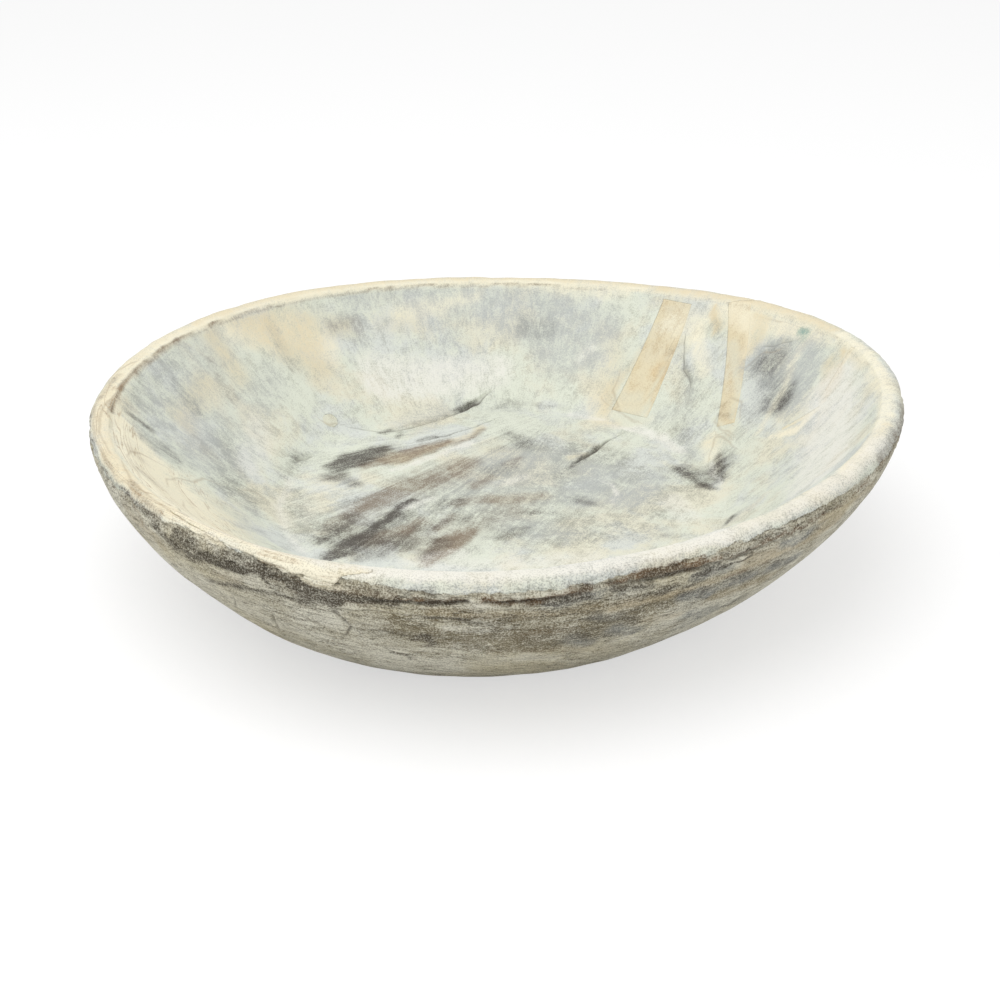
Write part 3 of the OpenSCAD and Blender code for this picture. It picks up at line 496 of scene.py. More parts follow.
outsideLines = {
    "crack": [
        ((255, 20, 0.1), (258, 19.6, 0.35), (262, 18.8, 0.5), (266.5, 18.2, 0.5)),
        ((268.6, 18.6, 0.4), (275, 19, 0.5), (281, 18.2, 0.2)),
        ((284, 17, 0.2), (290, 17.6, 0.5), (297, 17.8, 0.4), (303, 18.4, 0.3), (310, 18.6, 0.1)),
        ((250, 31, 0.3), (251, 36, 0.36), (251.7, 42, 0.36), (251, 48, 0.24), (250.3, 54, 0.24),
         (248, 57, 0.06)), ((251, 35, 0.12), (254, 38, 0.24), (258, 41, 0.18), (260, 42, 0.06)),
        ((245, 41, 0.06), (247, 46, 0.24), (249, 50, 0.24), (250, 54, 0.18)),
        ((240, 46, 0.06), (241, 52, 0.18), (244, 60, 0.18), (246, 72, 0.18), (248, 80, 0.06)),
        ((240, 46, 0.12), (239, 56, 0.3), (238, 66, 0.18), (237.5, 76, 0.06)),
        ((235.8, 60, 0.06), (236.5, 65, 0.24), (237.5, 70, 0.06)),
        ((251.5, 41, 0.12), (256, 43, 0.18), (262, 44, 0.12), (267, 45, 0.06)),
        ((255, 58, 0.06), (255.8, 64, 0.24), (258, 67, 0.3), (259.6, 66, 0.24), (260, 61, 0.18),
         (264, 63, 0.24), (270, 60, 0.18), (276, 65, 0.18), (282, 68, 0.06)),
        ((242, 32, 0.06), (245, 40, 0.18), (247.5, 46, 0.06)),
        ((243, 50, 0.06), (246, 58, 0.18), (249, 64, 0.06)),
        ((234, 40, 0.06), (233, 50, 0.18), (231, 60, 0.06)),
        ((250, 30, 0.24), (254, 27.5, 0.24), (257, 25.5, 0.06)),
        ((272, 28, 0.06), (262, 28, 0.18), (256, 26, 0.06)),
        ((281, 74, 0.06), (283, 84, 0.24), (287, 92, 0.06)),
        ((262, 30, 0.06), (266, 30.5, 0.24), (269, 32, 0.06)),
        ((90, 22, 0.12), (92, 40, 0.36), (90, 54, 0.12)),
        ((184, 24, 0.12), (184, 40, 0.36), (182, 58, 0.12)),
        ((330, 30, 0.12), (334, 44, 0.3), (332, 56, 0.12)),
    ],
    "ring": [
        ((183, 2, 0.3), (188, 6, 0.6), (196, 8, 0.6), (204, 6, 0.3)),
        ((206, 3, 0.3), (214, 7, 0.6), (222, 8, 0.5), (232, 6, 0.3)),
        ((188, 10, 0.3), (198, 11, 0.5), (208, 10, 0.3)), ((170, 4, 0.3), (174, 9, 0.6), (180, 11, 0.3)),
        ((216, 13, 0.3), (219, 18, 0.6), (218, 24, 0.3)), ((228, 2, 0.2), (229, 6, 0.5), (227, 10, 0.2)),
    ],
}


def smoothed(share):
    return share * share * (3 - 2 * share)


def bell(place, top, half):
    return np.exp(-((place - top) / half) ** 2)


def coverStrokes(points, strokes):
    # how much each point is covered by the strokes, from 0 to 1
    cover = np.zeros(len(points))
    for strength, soft, *path in strokes:
        apart, width, _ = nearPath(points, path)
        amount = np.clip((width + soft / 2 - apart) / soft, 0, 1)
        cover = 1 - (1 - cover) * (1 - strength * smoothed(amount))
    return cover


def nearPath(points, path):
    # distance to a line of points, its half width there, and the side that each point lies on
    count = len(points)
    apart, width, side = np.full(count, np.inf), np.zeros(count), np.ones(count)
    for (x0, y0, w0), (x1, y1, w1) in zip(path, path[1:]):
        run = np.array([x1 - x0, y1 - y0])
        share = np.clip(((points - (x0, y0)) @ run) / (run @ run), 0, 1)
        gap = points - (x0, y0) - share[:, None] * run
        length = np.hypot(gap[:, 0], gap[:, 1])
        nearer = length < apart
        apart = np.where(nearer, length, apart)
        width = np.where(nearer, w0 + (w1 - w0) * share, width)
        side = np.where(nearer, np.sign(run[0] * gap[:, 1] - run[1] * gap[:, 0]), side)
    return apart, width, side


def roundWall(path, wider=1):
    # a listed line as it lies on the map of the wall
    return [(turn * marks["perDegree"], reach, width * wider) for turn, reach, width in path]


def onWall(turn, reach):
    # where points lie on the map of the wall
    sunk = marks["sunk"] * np.clip((reach - marks["sunkFrom"]) / marks["sunkOver"], 0, 1)
    return np.stack([turn * marks["perDegree"], reach - sunk], axis=-1)


def nearLines(plan, wall, inside, kind):
    # signed distance to the nearest thin line, and that line's half width where it is close by
    apart, width = np.full(len(plan), marks["farthest"]), np.zeros(len(plan))
    around = [roundWall(path, marks["openWider"]) for path in outsideLines[kind]]
    for points, here, paths in ((plan, inside, insideLines[kind]), (wall, ~inside, around)):
        for path in paths:
            length, wide, side = nearPath(points[here], path)
            nearer = length < np.abs(apart[here])
            apart[here] = np.where(nearer, length * side, apart[here])
            width[here] = np.where(nearer & (length < marks["closeBy"]), wide, width[here])
    return apart, width


def noiseAt(points, size, shift=0.0):
    return np.array([noise.noise(Vector(p) / size + Vector((shift, -shift, shift))) for p in points])


def waverAt(points, size, swing, shift=0.0):
    away = Vector((shift, shift, shift))
    return np.array([noise.noise_vector(Vector(p) / size + away) * swing for p in points])


def mapPlaces(points, turn, reach):
    # where points lie on the plan and on the map of the wall, a little wavering, and which are inside
    waver = waverAt(points, *marks["lineWaver"])
    return points[:, :2] + waver[:, :2], onWall(turn, reach) + waver[:, 1:], reach < marks["insideEnds"]


# The lime coat's ragged end on the rim's outer side: angle round the bowl and distance from the hollow's
# edge, the size, shift and swing of what makes it ragged, and the step under it
limeCoat = {
    "ends": (
        (0, 16), (180, 15), (192, 16), (208, 16), (216, 14.5), (225, 13.2), (229, 12), (231, 11),
        (235, 10.5), (236, 11.6), (238, 13), (239, 11), (240.5, 13.4), (243, 13.6), (244.8, 15.8),
        (245.6, 12.8), (246.6, 11), (247, 17.5), (250.8, 17.4), (251.2, 13.2), (255, 14), (260, 15),
        (262, 15.6), (265, 16.6), (270, 16.4), (275, 16.6), (281, 16), (284, 15), (290, 14.4), (295, 15),
        (301, 13.5), (310, 14), (330, 16), (345, 18), (360, 16),
    ),
    "ragged": ((7, 6, 1.3), (2.4, 8, 0.9)),
    "step": 0.45, "stepOver": 0.9, "fadesOver": 14,
}


def limeEdge(points, turn):
    edge = np.interp(turn, *zip(*limeCoat["ends"]))
    for size, shift, swing in limeCoat["ragged"]:
        edge = edge + swing * noiseAt(points, size, shift)
    return edge


# The rim's filler: its chipped lower edge as angles round the bowl and round the rim's section
rimFiller = {
    "turns": (224, 229, 233.5, 236, 239.5, 241, 244, 245.5, 246.8, 247.6, 251, 251.6, 255),
    "edges": (86, 74, 66, 54, 50, 43, 37, 23, 30, 22, 17, 46, 78),
    "chip": 3.0, "chipNoise": ((1.9, 3.1, 1), (5.3, 7.7, 0.5)),  # chips in the edge: rate, place, share
    "crest": 100, "thinsOver": 12, "thinnest": 0.05,  # towards its upper edge it thins out
    "thickness": 1.4, "sunk": 0.5, "inset": 0.18,  # how far the wood is cut under it, and its own face
    "lip": 0.25, "lipOver": 5,
    # how much wood is worn back below it, and how flush the coat runs on from it
    "woodDrop": 0.8, "dropOver": 60, "flush": 0.42, "flushEnds": ((15, 0), (19, 2)),
    "past": 4, "pastCrest": 3, "offRim": -60.0,  # the angle that stands for places below the rim
    "grid": (150, 16),
    "hides": ("worn", "coolGrey", "brownStainAndShade", "darkStainAndShade"),  # older marks that it covers
}
fillerStart, fillerEnd = rimFiller["turns"][0], rimFiller["turns"][-1]


def fillerEdge(turn):
    # the lower edge's angle on the rim, with small chips broken out of it
    chips = sum(share * np.array([noise.noise((t * rate, place, 0.0)) for t in turn])
                for rate, place, share in rimFiller["chipNoise"])
    return np.interp(turn, rimFiller["turns"], rimFiller["edges"], 180, 180) + rimFiller["chip"] * chips


def carveBowl():
    # the section as a line of vertices, spun once round the upright axis
    shell = bmesh.new()
    reachLayer = shell.verts.layers.float.new("reach")
    line = []
    for zone in zones:
        reaches, shares = section[zone]
        rows = bowl["rows"][zone]
        for step in range(0 if zone == "base" else 1, rows + 1):
            reach = reaches[0] + (reaches[-1] - reaches[0]) * step / rows
            share = np.interp(-reach, -reaches, shares)
            radius, _, height = sectionPoint(zone, share, bowl["rimRadius"], 0.0)
            vert = shell.verts.new((max(float(radius), 0.0), 0, float(height)))
            vert[reachLayer] = reach
            line.append(vert)
    edges = [shell.edges.new(pair) for pair in zip(line, line[1:])]
    bmesh.ops.spin(shell, geom=line + edges, cent=(0, 0, 0), axis=(0, 0, 1), angle=2 * math.pi,
                   steps=bowl["columns"], use_merge=True)
    hair = 0.001  # vertices this close to the axis are one pole
    poles = [v for v in shell.verts if v.co.xy.length < hair]
    bmesh.ops.remove_doubles(shell, verts=poles, dist=hair)
    bmesh.ops.recalc_face_normals(shell, faces=shell.faces)

    # finer faces on the chipped shoulder and along the open cracks
    reach = np.array([v[reachLayer] for v in shell.verts])
    turn = turnOf([v.co.x for v in shell.verts], [v.co.y for v in shell.verts])
    _, _, points = placeAt(reach, turn)
    apart, width = nearLines(*mapPlaces(points, turn, reach), "crack")
    fine = bowl["fine"]
    wanted = (np.abs(apart) < fine["besideCracks"]) & (width > 0)
    wanted |= (turn > fine["from"]) & (turn < fine["to"]) & (reach > fine["above"]) & (reach < fine["below"])
    shell.verts.index_update()
    shell.edges.index_update()
    edges = {e for f in shell.faces if any(wanted[v.index] for v in f.verts) for e in f.edges}
    bmesh.ops.subdivide_edges(shell, edges=sorted(edges, key=lambda e: e.index), cuts=fine["cuts"],
                              use_grid_fill=True)
    mesh = bpy.data.meshes.new("bowl")
    shell.to_mesh(mesh)
    shell.free()

    # each vertex goes from the mean section to its own place on the hewn outline
    spun = readPoints(mesh)
    turn = turnOf(spun[:, 0], spun[:, 1])
    zone, share, points = placeAt(readValues(mesh, "reach"), turn)
    writePoints(mesh, "position", points)
    mesh.update()
    hewSurface(mesh, zone, share, turn)
    return mesh


# What adze, gouge, knocks and wear took off the surface, as depths into the wood
hewing = {
    "least": 0.3,  # the adze never left more wood outside than the CAD outline less this
    "noises": ((34, 0), (11, 9), (4.2, 5), (2.1, 2)),  # size and shift of broad, small, tiny and finest
    "uneven": ((0.55, 0.55, 0.3), (0, 0.45, 0.12)),  # outside, inside: depth, broad's share, small's share
    # the rim's outer shoulder and the edge under it are the most chipped, in small flakes
    "chips": {"middle": 18, "half": 6, "depth": 0.25, "small": 0.3,
              "flake": 0.8, "finest": 0.6, "edge": 0.16},
    # the hollow's edge is worn round at the front left
    "wornEdge": {"turns": (180, 194, 236, 256), "middle": -1, "half": 5.5, "depth": 2.0},
    # open cracks are grooves, with lips that stand a little proud inside
    "cracks": {"open": 0.4, "side": 0.8, "least": 0.5, "deeper": 1.3,
               "lip": 0.3, "lipAt": 1.5, "lipHalf": 0.8},
}


def hewSurface(mesh, zone, share, turn):
    # the slight unevenness that adze, gouge and wear left, always into the wood
    points = readPoints(mesh)
    reach = readValues(mesh, "reach")
    normals = np.empty(len(points) * 3, np.float32)
    mesh.vertices.foreach_get("normal", normals)
    broad, small, tiny, finest = (noiseAt(points, *pair) for pair in hewing["noises"])
    outside = np.isin(zone, ("outside", "rim"))
    depth = np.where(outside, *(base + much * broad + some * small for base, much, some in hewing["uneven"]))

    chips = hewing["chips"]
    flakes = np.clip((tiny + chips["finest"] * finest) / chips["edge"], 0, 1)
    chipped = chips["depth"] + chips["small"] * small + chips["flake"] * smoothed(flakes)
    depth = depth + outside * bell(reach, chips["middle"], chips["half"]) * chipped
    # the lime coat ends in a step, under which the bare wood comes back out slowly
    pastCoat = reach - limeEdge(points, turn)
    step = limeCoat["step"] * np.clip(pastCoat / limeCoat["stepOver"], 0, 1)
    depth = depth + outside * step * np.clip(1 - pastCoat / limeCoat["fadesOver"], 0, 1)
    worn = hewing["wornEdge"]
    wornHere = np.interp(turn, worn["turns"], (0, 1, 1, 0))
    depth = depth + worn["depth"] * wornHere * bell(reach, worn["middle"], worn["half"])
    cracks = hewing["cracks"]
    apart, width = nearLines(*mapPlaces(points, turn, reach), "crack")
    opened = np.clip(width / cracks["open"], 0, 1)
    groove = np.clip(1 - (apart / (width + cracks["side"])) ** 2, 0, 1)
    groove = groove * opened * (cracks["least"] + cracks["deeper"] * width)
    lips = cracks["lip"] * bell(np.abs(apart), width + cracks["lipAt"], cracks["lipHalf"])
    lips = lips * opened * (reach < 0)
    depth = np.where(outside, np.maximum(depth, hewing["least"]), depth) + groove - lips
    depth[zone == "base"] = 0

    angle = np.where(zone == "rim", share, rimFiller["offRim"])
    depth = cutForFiller(depth, outside, angle, turn, pastCoat)
    points -= normals.reshape(-1, 3) * depth[:, None]
    points[zone == "base", 2] = 0
    writePoints(mesh, "position", points)
    writeTurn(mesh, turn)
    mesh.update()


def cutForFiller(depth, outside, angle, turn, pastCoat):
    # wood is sunk under the rim's filler, and worn back along its lower edge
    below = fillerEdge(turn) - angle
    near = (turn > fillerStart - rimFiller["past"]) & (turn < fillerEnd + rimFiller["past"]) & outside
    under = near & (below < 0) & (angle < rimFiller["crest"] + rimFiller["pastCrest"])
    thin = np.clip((rimFiller["crest"] - angle) / rimFiller["thinsOver"], 0, 1)
    depth = np.where(under, np.maximum(depth, (rimFiller["thickness"] + rimFiller["sunk"]) * thin), depth)
    # the coat runs on flush from the filler to its own edge, and the wood under that is worn back
    fromMiddle = np.abs(turn - (fillerStart + fillerEnd) / 2)
    flush = rimFiller["flush"] + np.interp(fromMiddle, *zip(*rimFiller["flushEnds"]))
    depth = np.where(near & (below >= 0) & (pastCoat < 0), np.minimum(depth, flush), depth)
    drop = near & (below >= 0) & (below < rimFiller["dropOver"]) & (pastCoat >= 0)
    return np.where(drop, depth + rimFiller["woodDrop"] * (1 - below / rimFiller["dropOver"]), depth)


def wallPlace(turn, share, twist=0.0):
    # a frame on the hollow's wall: X runs up the wall, Y across it, Z out of the wood
    step = 0.04  # how far up and down the wall its slope is measured
    upper, lower = (surfacePoint("hollow", share + part, turn) for part in (step, -step))
    left, right = (surfacePoint("hollow", share, turn + part) for part in (1, -1))
    up = Vector(upper - lower).normalized()
    out = up.cross(Vector(left - right)).normalized()
    if out.z < 0:
        out.negate()
    place = Matrix((up, out.cross(up), out)).transposed().to_4x4()
    place.translation = Vector(surfacePoint("hollow", share, turn))
    return place @ Matrix.Rotation(math.radians(twist), 4, "Z")


# How the mends are let in: the gap round them, their broken arris, and how much deeper the recess is
joinery = {
    "gap": 0.07, "arris": 0.22, "deeper": 0.3,
    "margin": 4, "slab": 8,  # how far round an outline, and above and below it, its faces are looked for
    "snap": 0.5, "onLine": 0.1, "sharp": 50,
}


def letIn(shell, place, outline, depth):
    # cuts an outline into the carved surface, sinks a recess there, and returns the piece that fills it
    inverse = place.inverted()
    turnOnly = place.to_3x3()
    corners = [Vector((x, y, 0)) for x, y in outline]
    sides = [(start, (end - start).cross(Vector((0, 0, 1))).normalized())
             for start, end in zip(corners, corners[1:] + corners[:1])]
    span = max(c.length for c in corners) + joinery["margin"]
    near = [f for f in shell.faces
            if (f.calc_center_median() - place.translation).length < span
            and abs((inverse @ f.calc_center_median()).z) < joinery["slab"]]
    for start, away in sides:
        edging = [v for f in near for v in f.verts] + [e for f in near for e in f.edges]
        geom = [*dict.fromkeys(edging), *near]  # each once, in an order that every run keeps
        cut = bmesh.ops.bisect_plane(shell, geom=geom, dist=joinery["snap"], plane_co=place @ start,
                                     plane_no=turnOnly @ away)
        # the cut runs through what lies close by, which is then set on its line
        for vert in cut["geom_cut"]:
            if isinstance(vert, bmesh.types.BMVert):
                vert.co -= turnOnly @ (away * (inverse @ vert.co - start).dot(away))
        near = [g for g in cut["geom"] if isinstance(g, bmesh.types.BMFace)]
    inside = [f for f in near
              if all((inverse @ f.calc_center_median() - start).dot(away) < 0 for start, away in sides)]
    shell.faces.index_update()
    kept = {f.index for f in inside}
    piece = shell.copy()
    piece.faces.ensure_lookup_table()
    bmesh.ops.delete(piece, geom=[f for f in piece.faces if f.index not in kept], context="FACES")
    for vert in [v for v in piece.verts if v.is_boundary]:
        local = inverse @ vert.co
        for start, away in sides:
            if abs((local - start).dot(away)) < joinery["onLine"]:
                vert.co -= turnOnly @ away * joinery["gap"]
    sinkFaces(piece, turnOnly @ Vector((0, 0, -depth)), keep=True)
    rims = [e for e in piece.edges if len(e.link_faces) == 2
            and abs(e.calc_face_angle(0)) > math.radians(joinery["sharp"])
            and all((inverse @ v.co).z > -depth / 2 for v in e.verts)]
    bmesh.ops.bevel(piece, geom=rims, offset=joinery["arris"], offset_type="OFFSET", affect="EDGES",
                    segments=2, profile=0.5, material=-1, clamp_overlap=True)
    sinkFaces(shell, turnOnly @ Vector((0, 0, -depth - joinery["deeper"])), faces=inside)
    return piece


def sinkFaces(shell, move, faces=None, keep=False):
    # extrudes faces into the wood, and leaves a closed shell that faces outwards
    faces = faces or shell.faces[:]
    sunk = bmesh.ops.extrude_face_region(shell, geom=faces, use_keep_orig=keep)
    moved = [g for g in sunk["geom"] if isinstance(g, bmesh.types.BMVert)]
    bmesh.ops.translate(shell, vec=move, verts=moved)
    if not keep:
        bmesh.ops.delete(shell, geom=[f for f in faces if f.is_valid], context="FACES")
    faceOutwards(shell)


def faceOutwards(shell):
    bmesh.ops.recalc_face_normals(shell, faces=shell.faces)
    if shell.calc_volume(signed=True) < 0:
        bmesh.ops.reverse_faces(shell, faces=shell.faces)


def taperedOutline(length, foot, top):
    return [(-length / 2, -foot / 2), (length / 2, -top / 2), (length / 2, top / 2), (-length / 2, foot / 2)]


def roundOutline(radius, count=20):
    turns = [2 * math.pi * step / count for step in range(count)]
    return [(radius * math.cos(turn), radius * math.sin(turn)) for turn in turns]


def finishMesh(shell, name, sharpFrom=48):
    # a piece in millimetres becomes an object in metres at the origin
    bmesh.ops.scale(shell, vec=(mm, mm, mm), verts=shell.verts)
    mesh = bpy.data.meshes.new(name)
    shell.to_mesh(mesh)
    shell.free()
    mesh.shade_smooth()
    mesh.set_sharp_from_angle(angle=math.radians(sharpFrom))
    return placeInScene(mesh, name)


# The pieces let into the hollow's wall: angle round the bowl, share of the way up, twist on the wall
letInPieces = {
    "repairStripLeft": {"at": (54.5, 0.51, 4), "outline": taperedOutline(76, 24, 19), "depth": 7},
    "repairStripRight": {"at": (36, 0.58, 37), "outline": taperedOutline(84, 12, 15), "depth": 7},
    "knotPlug": {"at": (139, 0.245, 0), "outline": roundOutline(4.5), "depth": 10},
    "crackFillerUpper": {"at": (10.5, 0.78, 22), "outline": taperedOutline(27, 2, 4), "depth": 5},
    "crackFillerLower": {"at": (7.5, 0.535, -25), "outline": taperedOutline(27, 2, 4), "depth": 5},
}

bowlMesh = carveBowl()
print("bowl carved:", len(bowlMesh.vertices), "vertices")
shell = bmesh.new()
shell.from_mesh(bowlMesh)
pieces = {}
for name, part in letInPieces.items():
    pieces[name] = letIn(shell, wallPlace(*part["at"]), part["outline"], part["depth"])
    print("let in:", name, len(pieces[name].faces), "faces")
bowlObject = finishMesh(shell, "carvedBowl")
pieceObjects = {name: finishMesh(piece, name) for name, piece in pieces.items()}


def fillRim():
    # a thin skin over the chipped rim, between its ragged lower edge and the crest
    columns, rows = rimFiller["grid"]
    skin = bmesh.new()
    deep = skin.verts.layers.float.new("deep")
    bmesh.ops.create_grid(skin, x_segments=columns, y_segments=rows, size=0.5)
    under = bmesh.ops.extrude_face_region(skin, geom=skin.faces[:], use_keep_orig=True)
    for vert in under["geom"]:
        if isinstance(vert, bmesh.types.BMVert):
            vert[deep] = 1.0
    mesh = bpy.data.meshes.new("rimFiller")
    skin.to_mesh(mesh)
    skin.free()
    grid = readPoints(mesh) + 0.5
    turn = fillerStart + (fillerEnd - fillerStart) * grid[:, 0]
    low = fillerEdge(turn)
    angle = low + (rimFiller["crest"] - low) * grid[:, 1]
    thin = np.clip((rimFiller["crest"] - angle) / rimFiller["thinsOver"], rimFiller["thinnest"], 1)
    lip = rimFiller["lip"] * (1 - np.clip((angle - low) / rimFiller["lipOver"], 0, 1)) ** 2
    offset = -rimFiller["inset"] - lip - rimFiller["thickness"] * thin * (readValues(mesh, "deep") > 0.5)
    points = np.array([surfacePoint("rim", a, t, o) for a, t, o in zip(angle, turn, offset)])
    writePoints(mesh, "position", points * mm)
    writeTurn(mesh, turn)
    rimPerDegree = 0.115  # length along the rim's section for each degree of it
    writePoints(mesh, "reach", rimPerDegree * (180 - angle))
    skin = bmesh.new()
    skin.from_mesh(mesh)
    faceOutwards(skin)
    skin.to_mesh(mesh)
    skin.free()
    mesh.shade_smooth()
    return placeInScene(mesh, "rimFiller")


pieceObjects["rimFiller"] = fillRim()
print("rim filled")

# What else the materials read from the surface
dressing = {
    "ringTurns": (160, 185, 240, 260),  # growth rings show in the cream wood between these angles
    "bareOver": 2.5, "floorOver": 16,  # how soft the coat's end and the floor's edge are
    # how thickly specks lie at each reach
    "specks": ((-14, 0.06), (-3, 0.08), (3, 0.1), (8, 0.22), (14, 0.32), (24, 0.28)),
    "wallRadius": 150,  # the wall's grain is measured round a circle of this size
    # the grain on the floor's left fans out from one point, and gives way to straight grain along a slant
    "fanFrom": (41, 131), "fanRadius": 150, "fanEnds": 30, "fanSlant": 0.5, "fanOver": 60,
}


def dressSurface(obj):
    # writes the stains, the painted crease shade and highlights, lines and grain directions that the
    # materials read
    mesh = obj.data
    points = readPoints(mesh) / mm
    turn = turnOf(readValues(mesh, "turnCosine"), readValues(mesh, "turnSine"))
    reach = readValues(mesh, "reach")
    isFiller = obj.name == "rimFiller"
    warp = sum(waverAt(points, size, swing) for size, swing in marks["stainWaver"])
    plan, wall = points[:, :2] + warp[:, :2], onWall(turn, reach) + warp[:, 1:]
    blendIn = np.clip((reach - marks["insideEnds"] + 1) / marks["endsOver"], 0, 1)
    for layer in insideStrokes:
        around = [(strength, soft, *roundWall(path)) for strength, soft, *path in outsideStrokes[layer]]
        within, without = coverStrokes(plan, insideStrokes[layer]), coverStrokes(wall, around)
        cover = within * (1 - blendIn) + without * blendIn
        writePoints(mesh, layer, cover * 0 if isFiller and layer in rimFiller["hides"] else cover)
        if layer == "creamWash":
            writePoints(mesh, "ringShare", cover * np.interp(turn, dressing["ringTurns"], (0, 1, 1, 0)))
    places = mapPlaces(points, turn, reach)
    for kind in insideLines:
        side, width = nearLines(*places, kind)
        writePoints(mesh, kind + "Side", side)
        writePoints(mesh, kind + "Width", width * (not isFiller))
    bareSide = np.clip(0.5 + (reach - limeEdge(points, turn)) / dressing["bareOver"], 0, 1)
    writePoints(mesh, "bareSide", bareSide * (not isFiller))
    pastWall = section["hollow"][0][-1] - reach
    writePoints(mesh, "floorShare", np.clip(0.5 + pastWall / dressing["floorOver"], 0, 1))
    writePoints(mesh, "specks", np.interp(reach, *zip(*dressing["specks"])))
    onCircle = np.stack([np.cos(np.radians(turn)), np.sin(np.radians(turn))]) * dressing["wallRadius"]
    writePoints(mesh, "wall", np.stack([*onCircle, reach], axis=-1) * mm)
    x, y = (points[:, :2] - dressing["fanFrom"]).T
    fan = np.stack([np.arctan2(-y, -x) * dressing["fanRadius"], np.hypot(x, y), 0 * turn], axis=-1)
    writePoints(mesh, "fan", fan * mm)
    leftward = dressing["fanEnds"] - points[:, 0] + dressing["fanSlant"] * points[:, 1]
    writePoints(mesh, "fanShare", np.clip(leftward / dressing["fanOver"], 0, 1))


for obj in [bowlObject, *pieceObjects.values()]:
    dressSurface(obj)
print("stains and grain laid out")


def linearColour(code):
    # an sRGB hex value as the linear colour that a shader takes
    parts = [int(code[i:i + 2], 16) / 255 for i in (1, 3, 5)]
    return [p / 12.92 if p <= 0.04045 else ((p + 0.055) / 1.055) ** 2.4 for p in parts] + [1]


def addNode(tree, kind, inputs=None, **settings):
    # adds a node, gives its sockets a value or a link, and returns its first live output
    node = tree.nodes.new("ShaderNode" + kind)
    for key, value in settings.items():
        setattr(node, key, value)
    for key, value in (inputs or {}).items():
        if isinstance(value, bpy.types.NodeSocket):
            tree.links.new(value, node.inputs[key])
        else:
            node.inputs[key].default_value = value
    outputs = [o for o in node.outputs if o.enabled]
    return outputs[0] if outputs else node


